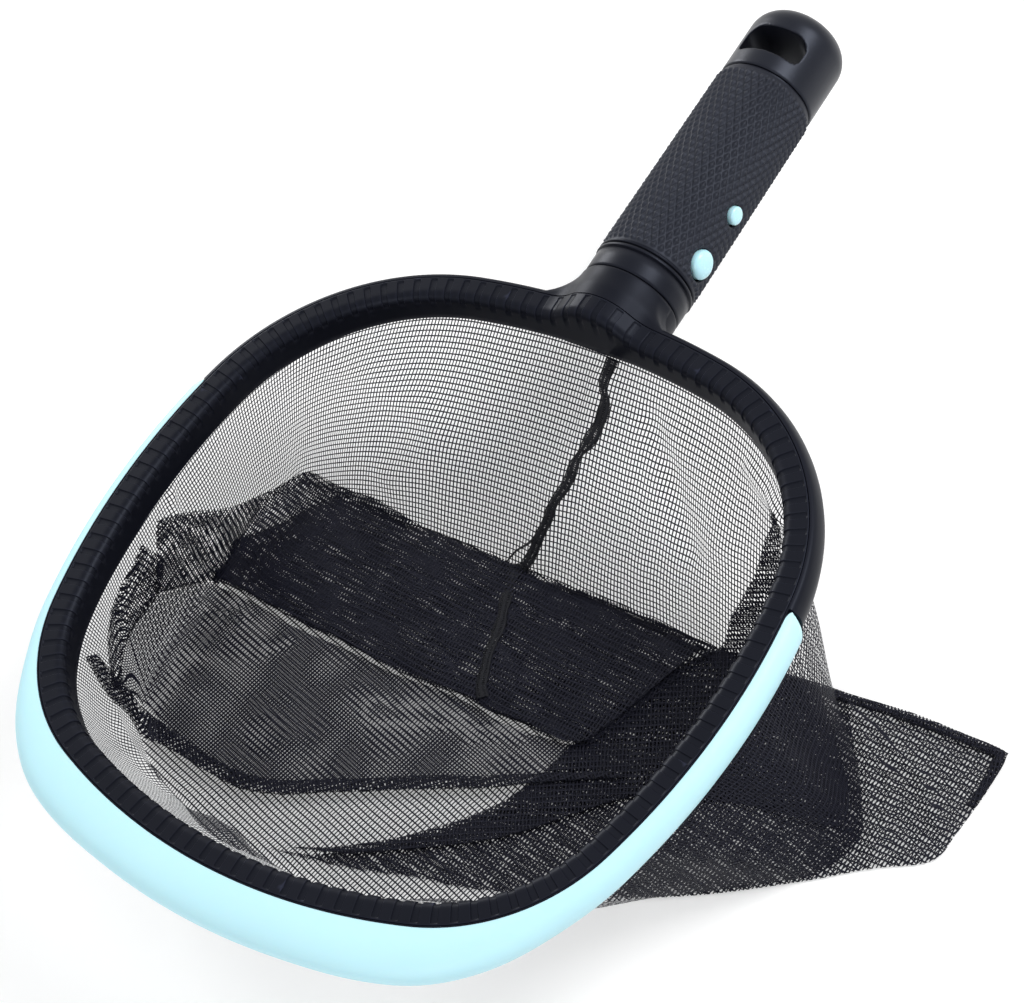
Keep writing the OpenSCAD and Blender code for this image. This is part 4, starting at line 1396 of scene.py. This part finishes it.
def folded_layers(edges, layers, across, count, seed, lift, wave, turn=0.0, ground=None):
    """Rows of net folded to and fro between two edges, with thread coordinates."""
    first, second = (through([pair[k] for pair in edges], count) for k in (0, 1))
    run = run_along((first + second) / 2)
    wide = np.linalg.norm(second - first, axis=1)
    rows, threads = [], []
    for layer in range(layers):
        for k in range(across):
            t = k / (across - 1)
            spread = t if layer % 2 == 0 else 1 - t
            reach = 0.8 * ripples(run, np.full(count, 61.0 * (layer + t)), seed + 7, 6, 70.0, 30.0)
            share = spread + (spread - 0.5) * reach / np.maximum(wide, 6.0)
            line = first + (second - first) * share[:, None]
            waves = np.abs(ripples(run, spread * wide, seed + layer, 9, 60.0, 22.0))
            high = lift + LAYER_LIFT * layer + wave * waves
            if ground is not None:
                line = eased(ground.lay(line, high), 3)
            else:
                line[:, 2] += high
            rows.append(line)
            threads.append(unrolled(line, turn + LAYER_TURN * layer) + LAYER_SHIFT * layer)
    return np.array(rows), np.array(threads)


def net_layers(bag, name, rows, threads, nodes=(), cover=0.0):
    """Makes a sheet of net from a grid; its flat area and length are worked out but not used."""
    form = Surface()
    form.patch(rows, threads=threads)
    piece = form.build(name, [net_for(bag, name.replace("_", " ") + " net", cover)], 0, outward=False)
    place(piece, "net", "bag_mesh", *nodes)
    area = cloth_area(rows)
    long = float(np.linalg.norm(np.diff(rows.mean(0), axis=0), axis=1).sum()) * MM


# The gathered seam down the back and over the floor, and its short branch.
SEAM = (
    (6.9, -24.0, -2.1), (6.8, -27.0, -3.8), (6.7, -31.7, -6.1), (8.7, -35.2, -9.9),
    (8.6, -39.9, -13.8), (6.5, -45.8, -18.3), (3.7, -52.0, -24.0), (1.8, -57.9, -30.3),
    (-1.3, -63.7, -35.8), (-2.8, -68.1, -41.3), (-4.8, -72.0, -47.1), (-7.6, -76.6, -54.4),
    (-11.2, -81.6, -60.5), (-9.5, -88.0, -60.8), (-6.7, -95.4, -60.8), (-3.4, -104.7, -60.7),
    (-1.2, -114.2, -60.7), (2.9, -122.9, -60.6), (6.6, -127.6, -60.4),
)
SEAM_BRANCH = ((-4.6, -70.7, -44.7), (-9.0, -73.5, -49.4), (-14.3, -75.3, -54.8), (-18.5, -79.4, -60.8))
# Folded layers: name, edges, layers, rows in each, lift, waviness, turn of the threads, cover.
FOLDED = (
    ("bag_floor_layers", (
        ((-109.0, -150.6, -32.5), (-99.1, -182.7, -31.5)),
        ((-112.1, -131.5, -53.7), (-100.4, -181.9, -42.5)),
        ((-95.8, -128.6, -60.3), (-102.9, -178.4, -60.7)), ((-74.5, -130.3, -60.3), (-88.3, -181.5, -60.7)),
        ((-52.6, -130.4, -60.3), (-71.8, -184.9, -60.5)), ((-29.9, -131.3, -60.4), (-50.6, -186.7, -60.8)),
        ((-10.3, -130.5, -59.5), (-34.3, -179.5, -60.8)), ((4.8, -130.4, -60.5), (-14.3, -169.0, -60.5)),
        ((19.1, -131.7, -58.3), (2.0, -160.9, -60.6)), ((29.9, -130.1, -60.8), (20.1, -152.1, -60.3)),
        ((46.9, -127.5, -60.6), (37.2, -143.5, -60.0)),
    ), 1, 26, 0.9, 0.15, -14.0, 0.3),
    ("bag_inner_fold", (
        ((66, -78, -60.8), (104, -79, -60.8)), ((58, -88, -60.8), (118, -94, -60.8)),
        ((50, -103, -60.8), (130, -108, -60.8)), ((43, -120, -60.8), (131, -118, -60.8)),
        ((36, -146, -60.8), (112, -120, -60.8)), ((26, -164, -60.8), (90, -119, -60.8)),
        ((9, -180, -60.8), (66, -138, -60.8)), ((-8, -192, -60.8), (36, -168, -60.8)),
        ((-22, -200, -60.8), (-4, -193, -60.8)),
    ), 3, 22, 0.8, 0.25, 18.0, 0.0),
    ("bag_fold_band", (
        ((-105.6, -138.1, -4.7), (-108.7, -149.4, -29.7)),
        ((-105.3, -127.6, -14.0), (-109.8, -147.1, -36.7)),
        ((-108.5, -105.9, -38.6), (-112.1, -131.1, -53.0)),
        ((-109.1, -91.2, -49.2), (-108.0, -127.1, -60.5)), ((-103.1, -77.0, -52.3), (-86.4, -128.0, -60.3)),
        ((-91.6, -75.9, -54.2), (-62.7, -129.2, -60.6)), ((-81.4, -77.0, -54.3), (-51.5, -129.0, -60.4)),
        ((-71.3, -75.8, -54.4), (-30.6, -130.3, -60.4)), ((-54.9, -76.7, -57.9), (-10.7, -129.8, -59.5)),
        ((-46.2, -78.9, -60.8), (-4.1, -129.5, -59.9)), ((-18.4, -78.9, -60.8), (4.1, -129.4, -60.5)),
        ((-2.8, -77.8, -60.1), (20.1, -130.5, -59.0)), ((16.3, -76.4, -57.6), (29.5, -129.4, -60.7)),
        ((40.0, -76.4, -57.1), (38.2, -129.0, -60.7)), ((67.3, -76.8, -58.8), (47.1, -126.6, -60.5)),
    ), 2, 18, 1.9, 0.3, 2.0, 0.0),
    ("bag_band_heap", (
        ((-111.7, -126.0, -52.5), (-112.0, -129.0, -57.3)),
        ((-111.9, -113.7, -60.8), (-108.0, -127.1, -60.5)),
        ((-104.5, -103.8, -60.5), (-95.9, -127.3, -60.4)), ((-97.2, -93.6, -60.8), (-80.5, -128.1, -60.3)),
        ((-89.9, -81.7, -60.8), (-62.7, -129.2, -60.6)), ((-81.1, -76.9, -57.9), (-51.5, -129.0, -60.4)),
        ((-71.7, -76.5, -56.8), (-30.6, -130.3, -60.4)), ((-55.0, -77.0, -58.7), (-10.7, -129.8, -59.5)),
        ((-45.7, -79.6, -60.8), (-4.1, -129.5, -59.9)), ((-17.9, -79.6, -60.8), (4.1, -129.4, -60.5)),
        ((-2.7, -78.2, -60.6), (20.1, -130.5, -59.0)), ((16.3, -76.7, -58.3), (29.5, -129.4, -60.7)),
        ((40.0, -76.7, -57.8), (38.2, -129.0, -60.7)), ((64.0, -77.1, -59.3), (46.3, -126.6, -60.6)),
    ), 3, 16, 3.0, 0.7, -12.0, 0.0),
    ("bag_front_fold", (
        ((-95.0, -187.1, -7.9), (-92.6, -191.4, -1.7)), ((-97.2, -185.1, -24.0), (-93.2, -192.4, -17.8)),
        ((-98.5, -182.6, -40.7), (-94.3, -191.3, -34.6)), ((-95.9, -181.0, -53.6), (-93.2, -188.9, -49.2)),
        ((-88.0, -181.5, -59.5), (-86.8, -187.8, -57.6)), ((-76.7, -183.5, -60.6), (-76.0, -188.6, -60.2)),
        ((-64.5, -185.1, -60.5), (-64.0, -190.0, -60.4)), ((-52.4, -184.9, -60.6), (-52.0, -189.8, -60.5)),
        ((-40.7, -181.8, -60.6), (-39.6, -186.5, -60.5)), ((-28.4, -176.0, -60.5), (-26.3, -180.3, -60.5)),
        ((-14.9, -169.0, -60.5), (-12.4, -172.8, -60.5)), ((-0.8, -161.9, -60.5), (1.7, -165.5, -60.5)),
        ((13.2, -155.2, -60.3), (15.4, -158.6, -60.4)), ((25.9, -148.9, -60.0), (27.9, -152.0, -60.2)),
        ((37.5, -143.0, -60.1), (39.0, -145.5, -60.2)), ((49.4, -137.0, -60.4), (50.5, -138.8, -60.5)),
        ((62.3, -130.9, -60.7), (63.0, -132.1, -60.7)),
    ), 3, 7, 2.1, 0.25, 40.0, 0.0),
    ("bag_left_pleat", (
        ((-105.1, -146.1, -7.0), (-108.2, -140.7, -23.9)),
        ((-104.6, -153.2, -9.4), (-109.2, -146.4, -33.0)),
        ((-103.2, -162.3, -10.8), (-108.3, -155.3, -35.1)),
        ((-101.2, -171.6, -12.8), (-105.6, -165.9, -32.5)),
        ((-99.3, -178.8, -17.1), (-102.4, -174.7, -30.9)),
        ((-97.9, -183.8, -23.8), (-100.3, -180.2, -32.5)), ((-97.1, -187.9, -32.3), (-99.2, -183.5, -36.6)),
    ), 2, 9, 0.9, 0.3, 10.0, 0.0),
    ("bag_right_pleat", (
        ((83.1, -51.7, -7.9), (85.6, -53.5, -9.4)), ((78.5, -54.5, -19.8), (85.1, -55.2, -17.2)),
        ((76.9, -58.7, -27.3), (84.5, -58.0, -24.8)), ((75.2, -62.5, -33.8), (83.2, -61.9, -33.7)),
        ((72.0, -67.3, -41.6), (80.9, -66.1, -41.8)), ((69.3, -71.1, -47.9), (78.1, -71.3, -50.2)),
        ((67.6, -76.2, -57.6), (74.1, -77.5, -60.5)), ((63.6, -82.8, -60.8), (74.0, -87.1, -60.8)),
    ), 2, 8, 0.9, 0.3, 25.0, 0.0),
)


class SKIMMER_OT_bag_folds(bpy.types.Operator):
    """Make the folded layers of net that lie on the bag's floor and climb its walls"""

    bl_idname = "skimmer.bag_folds"
    bl_label = "Bag Folds"

    def execute(self, context):
        """Builds the pieces."""
        bag = context.scene.skimmer_bag
        ground = Ground("bag_sack")
        for name, edges, layers, across, lift, wave, turn, cover in FOLDED:
            count = min(220, 20 * len(edges))
            seed = 31 + 10 * len(name)
            rows, threads = folded_layers(edges, layers, across, count, seed, lift, wave, turn, ground)
            net_layers(bag, name, rows, threads, cover=cover)
        return {"FINISHED"}


# Edges, creases and hem of the tail, seen from above.
TAIL_BACK = ((70, -76), (92, -77), (109, -75), (129, -73.5), (147, -73), (165, -73))
TAIL_FRONT = (
    (-40, -204), (-9, -198), (13, -191), (40, -184), (79, -168), (104, -155), (129, -138), (146, -125),
    (161, -115), (163.5, -104), (165, -90),
)
TAIL_LEFT = (
    (70, -76), (59, -85), (44, -117), (34, -149), (25, -165), (8, -181), (-8, -193), (-22, -200), (-40, -204),
)
TAIL_RIGHT = ((165, -73), (165.4, -82), (165, -90))
TAIL_CREASES = (
    (((112, -78), (124, -84), (143, -90), (158, -105)), 2.2, 2.4),
    (((124, -88), (139, -97), (145, -116), (147, -124)), 2.0, 2.0),
    (((114, -80), (128, -94), (140, -112), (144, -122)), 2.5, 1.6),
    (((104, -92), (120, -112), (133, -132)), 3.0, 1.2),
    (((70, -120), (92, -140), (110, -150)), 4.0, 0.9),
)
TAIL_HEM = (
    ((84, -77.6), (84, -80.4)), ((98, -76.4), (98, -79.3)), ((111, -75.2), (111, -78.2)),
    ((129, -73.4), (129, -76.4)), ((147, -72.9), (147, -75.9)), ((163, -72.9), (162.2, -75.8)),
    ((165.4, -75.5), (162.8, -77.2)),
    ((165.6, -84), (163.2, -84)), ((164.8, -94), (162.6, -93.6)),
)


class SKIMMER_OT_bag_tail(bpy.types.Operator):
    """Make the layers of net that lie out to the side"""

    bl_idname = "skimmer.bag_tail"
    bl_label = "Bag Tail"

    def execute(self, context):
        """Builds the two layers and the hem."""
        bag = context.scene.skimmer_bag
        floor = -bag.depth / MM
        count, across = 170, 110
        left, right = through(TAIL_LEFT, across), through(TAIL_RIGHT, across)
        back, front = through(TAIL_BACK, count), through(TAIL_FRONT, count)
        s, t = np.linspace(0, 1, count)[None, :, None], np.linspace(0, 1, across)[:, None, None]
        # A smooth patch between the four edges.
        flat = (1 - t) * back[None] + t * front[None] + (1 - s) * left[:, None] + s * right[:, None]
        flat -= (1 - s) * ((1 - t) * left[0] + t * left[-1]) + s * ((1 - t) * right[0] + t * right[-1])
        level = np.concatenate([flat, np.zeros(flat.shape[:2] + (1,))], -1)
        folds = np.zeros(flat.shape[:2])
        for line, width, depth in TAIL_CREASES:
            line = np.column_stack([np.array(line, float), np.zeros(len(line))])
            folds += depth * np.exp(-((away_from(level, line) / width) ** 2))
        out = smooth_step(flat[..., 0] + 0.4 * flat[..., 1], 66, 100)
        ends, sides = (np.sin(math.pi * np.clip(share[..., 0], 0.02, 0.98)) for share in (t, s))
        edge = ends**0.5 * sides**0.4
        for layer, turn in ((0, 4.0), (1, -21.0)):
            lift = np.abs(ripples(flat[..., 0], flat[..., 1], 61 + layer, 10, 60.0, 20.0))
            raised = layer * (folds * out + 0.9 * lift * edge * out)
            z = floor + 0.1 + 0.35 * layer + raised + 0.12 * lift * edge
            rows = np.concatenate([flat + layer * 0.3, z[..., None]], -1)
            threads = unrolled(rows, turn) + 0.5 * layer
            name = ("bag_tail_lower", "bag_tail_upper")[layer]
            net_layers(bag, name, rows, threads, ["bag_tail"] if layer else [])
        edges = [tuple((x, y, floor) for x, y in pair) for pair in TAIL_HEM]
        rows, threads = folded_layers(edges, 4, 5, 130, 81, 0.8, 0.2)
        net_layers(bag, "tail_hem_roll", rows, threads, ["tail_hem"], 0.1)
        return {"FINISHED"}


def strip_rows(path, width, height):
    """A soft flattened tube along a path, for a seam."""
    sides = 10
    way = np.gradient(path, axis=0)
    way /= np.linalg.norm(way, axis=1)[:, None]
    side = np.cross(way, INSIDE - path)
    side /= np.maximum(np.linalg.norm(side, axis=1), 1e-9)[:, None]
    up = np.cross(side, way)
    a = np.arange(sides + 1) * TURN / sides
    across = side[:, None] * (np.cos(a) * width[:, None] / 2)[..., None]
    return path[:, None] + across + up[:, None] * (np.sin(a) * height[:, None] / 2)[..., None]


class SKIMMER_OT_bag_seams(bpy.types.Operator):
    """Make the gathered seam down the back of the bag and over its floor"""

    bl_idname = "skimmer.bag_seams"
    bl_label = "Bag Seams"

    def execute(self, context):
        """Builds the piece."""
        bag = context.scene.skimmer_bag
        ground = Ground("bag_sack")
        form = Surface()
        seams = ((SEAM, 4.1, 2.0, 1.0), (SEAM_BRANCH, 1.5, 0.9, 0.35))
        for number, (line, wide, high, last) in enumerate(seams):
            seed = 71 + 2 * number
            count = 24 * len(line)
            path = through(line, count)
            run = run_along(path)
            lift = 0.8 + 3.2 * smooth_step(-path[:, 1], 74, 84)
            path = ground.lay(path, lift)
            path[:, 0] += 0.25 * ripples(run, 0 * run, seed, 6, 40.0, 12.0)
            lumps = 1 + 0.2 * ripples(run, 5 + 0 * run, seed + 1, 7, 18.0, 4.0)
            taper = np.linspace(1.0, last, count)
            rows = strip_rows(path, wide * lumps * taper, high * lumps * taper)
            round_it = np.linspace(0, 2.6 * wide, rows.shape[1])
            threads = np.broadcast_arrays(run[:, None] * 1.35, round_it[None] + 80.0 * number)
            form.patch(rows, threads=np.stack(threads, -1))
        cloth = open_net("seam net", bag.binding, 0.936, 0.5, 1.6, 0.9, 0.35)
        piece = form.build("bag_centre_seam", [cloth], 0, outward=False)
        place(piece, "net", "bag_binding", "bag_seam")
        return {"FINISHED"}


# ---------------------------------------------------------------- stage

CAMERA_PLACE = (0.397544, -0.391816, 0.623326)
CAMERA_RIGHT = Vector((0.81059696, 0.5312495, -0.24638696))
CAMERA_DOWN = Vector((0.32102274, -0.75500354, -0.57176398))
CAMERA_AHEAD = Vector((-0.48977236, 0.38437433, -0.78254675))


def pale_to_eye(tree):
    """Is 1 for the rays that reach the eye straight, from gloss or through something clear."""
    ways = tree.nodes.new("ShaderNodeLightPath")
    seen = ways.outputs["Is Camera Ray"]
    for way in ("Is Glossy Ray", "Is Transmission Ray"):
        either = tree.nodes.new("ShaderNodeMath")
        either.operation = "MAXIMUM"
        tree.links.new(seen, either.inputs[0])
        tree.links.new(ways.outputs[way], either.inputs[1])
        seen = either.outputs[0]
    return seen


def pale_floor(stage):
    """The floor's material: matt, with a share of plain white for the eye."""
    paint = bpy.data.materials.new("pale floor")
    paint.use_nodes = True
    tree = paint.node_tree
    tree.nodes.clear()
    out = tree.nodes.new("ShaderNodeOutputMaterial")
    matt = tree.nodes.new("ShaderNodeBsdfDiffuse")
    matt.inputs["Color"].default_value = (*stage.floor, 1)
    glow = tree.nodes.new("ShaderNodeEmission")
    glow.inputs["Color"].default_value = (1, 1, 1, 1)
    share = tree.nodes.new("ShaderNodeMath")
    share.operation = "MULTIPLY"
    share.inputs[1].default_value = stage.floor_glow
    tree.links.new(pale_to_eye(tree), share.inputs[0])
    tree.links.new(share.outputs[0], glow.inputs["Strength"])
    both = tree.nodes.new("ShaderNodeAddShader")
    tree.links.new(matt.outputs["BSDF"], both.inputs[0])
    tree.links.new(glow.outputs["Emission"], both.inputs[1])
    tree.links.new(both.outputs["Shader"], out.inputs["Surface"])
    return paint


def soft_room(stage):
    """The light all round, which is plain white for the eye."""
    world = bpy.data.worlds.new("soft room")
    world.use_nodes = True
    tree = world.node_tree
    sky = tree.nodes["Background"]
    sky.inputs["Color"].default_value = (1, 1, 1, 1)
    level = tree.nodes.new("ShaderNodeMapRange")
    tree.links.new(pale_to_eye(tree), level.inputs["Value"])
    level.inputs["To Min"].default_value = stage.soft_light
    level.inputs["To Max"].default_value = 1.0
    tree.links.new(level.outputs["Result"], sky.inputs["Strength"])
    return world


class SKIMMER_OT_stage(bpy.types.Operator):
    """Make the floor, the soft light and the camera"""

    bl_idname = "skimmer.stage"
    bl_label = "Stage"

    def execute(self, context):
        """Builds the stage."""
        scene, stage = context.scene, context.scene.skimmer_stage
        mesh = bpy.data.meshes.new("floor")
        low = FRAME_LOW.z - 0.0004
        mesh.from_pydata([(-6, -6, low), (6, -6, low), (6, 6, low), (-6, 6, low)], [], [(0, 1, 2, 3)])
        floor = bpy.data.objects.new("floor", mesh)
        scene.collection.objects.link(floor)
        mesh.materials.append(pale_floor(stage))
        scene.world = soft_room(stage)
        target = Vector((0.0, -0.09, 0.0))
        for name, spot, size, power in (
            ("key lamp", (0.62, 0.5, 0.88), 0.5, stage.lamp_power),
            ("left lamp", (-1.1, 0.45, 0.36), 0.42, stage.lamp_power * 0.6),
            ("front lamp", (0.3, -1.15, 0.6), 0.4, stage.lamp_power * 0.3),
        ):
            lamp = bpy.data.lights.new(name, "AREA")
            lamp.size, lamp.energy = size, power
            holder = bpy.data.objects.new(name, lamp)
            holder.location = spot
            holder.rotation_euler = (target - Vector(spot)).to_track_quat("-Z", "Y").to_euler()
            scene.collection.objects.link(holder)
        lens = bpy.data.cameras.new("product camera")
        lens.lens, lens.sensor_width, lens.clip_start, lens.clip_end = stage.lens, 36.0, 0.01, 60.0
        camera = bpy.data.objects.new("product camera", lens)
        turn = Matrix((CAMERA_RIGHT, -CAMERA_DOWN, -CAMERA_AHEAD)).transposed().to_4x4()
        camera.matrix_world = Matrix.Translation(CAMERA_PLACE) @ turn
        scene.collection.objects.link(camera)
        scene.camera = camera
        scene.view_settings.view_transform = "Standard"
        return {"FINISHED"}


# ---------------------------------------------------------------- panel

SETTINGS = (
    ("skimmer_hoop", SkimmerHoopSettings), ("skimmer_neck", SkimmerNeckSettings),
    ("skimmer_lip", SkimmerLipSettings), ("skimmer_grip", SkimmerGripSettings),
    ("skimmer_clip", SkimmerClipSettings), ("skimmer_bag", SkimmerBagSettings),
    ("skimmer_stage", SkimmerStageSettings),
)
OPERATORS = (
    SKIMMER_OT_stage, SKIMMER_OT_hoop_frame, SKIMMER_OT_snap_ring, SKIMMER_OT_scraper_lip,
    SKIMMER_OT_mouth_binding, SKIMMER_OT_grip_collar, SKIMMER_OT_grip_sleeve, SKIMMER_OT_end_cap,
    SKIMMER_OT_spring_clip, SKIMMER_OT_buttons, SKIMMER_OT_bag_sack, SKIMMER_OT_bag_folds,
    SKIMMER_OT_bag_tail, SKIMMER_OT_bag_seams,
)


class SKIMMER_PT_pieces(bpy.types.Panel):
    """Lists the pieces of the skimmer net and their settings"""

    bl_idname = "SKIMMER_PT_pieces"
    bl_label = "Leaf Skimmer Net"
    bl_space_type = "VIEW_3D"
    bl_region_type = "UI"
    bl_category = "Skimmer"

    def draw(self, context):
        """Draws the settings and one button for each piece."""
        for name, kind in SETTINGS:
            box = self.layout.box()
            box.label(text=name.replace("skimmer_", "").title())
            for key in kind.__annotations__:
                box.prop(getattr(context.scene, name), key)
        for piece in OPERATORS:
            self.layout.operator(piece.bl_idname)


def register():
    """Registers the settings, the operators and the panel."""
    for name, kind in SETTINGS:
        bpy.utils.register_class(kind)
        setattr(bpy.types.Scene, name, bpy.props.PointerProperty(type=kind))
    for kind in (*OPERATORS, SKIMMER_PT_pieces):
        bpy.utils.register_class(kind)


def unregister():
    """Takes back what register did."""
    for kind in (SKIMMER_PT_pieces, *reversed(OPERATORS)):
        bpy.utils.unregister_class(kind)
    for name, kind in reversed(SETTINGS):
        delattr(bpy.types.Scene, name)
        bpy.utils.unregister_class(kind)


def main():
    """Makes every piece in order."""
    register()
    for kind in OPERATORS:
        step = getattr(bpy.ops.skimmer, kind.bl_idname.split(".")[1])
        if step() != {"FINISHED"}:
            raise RuntimeError(f"{kind.bl_label} wasn't finished")


if __name__ == "__main__":
    main()
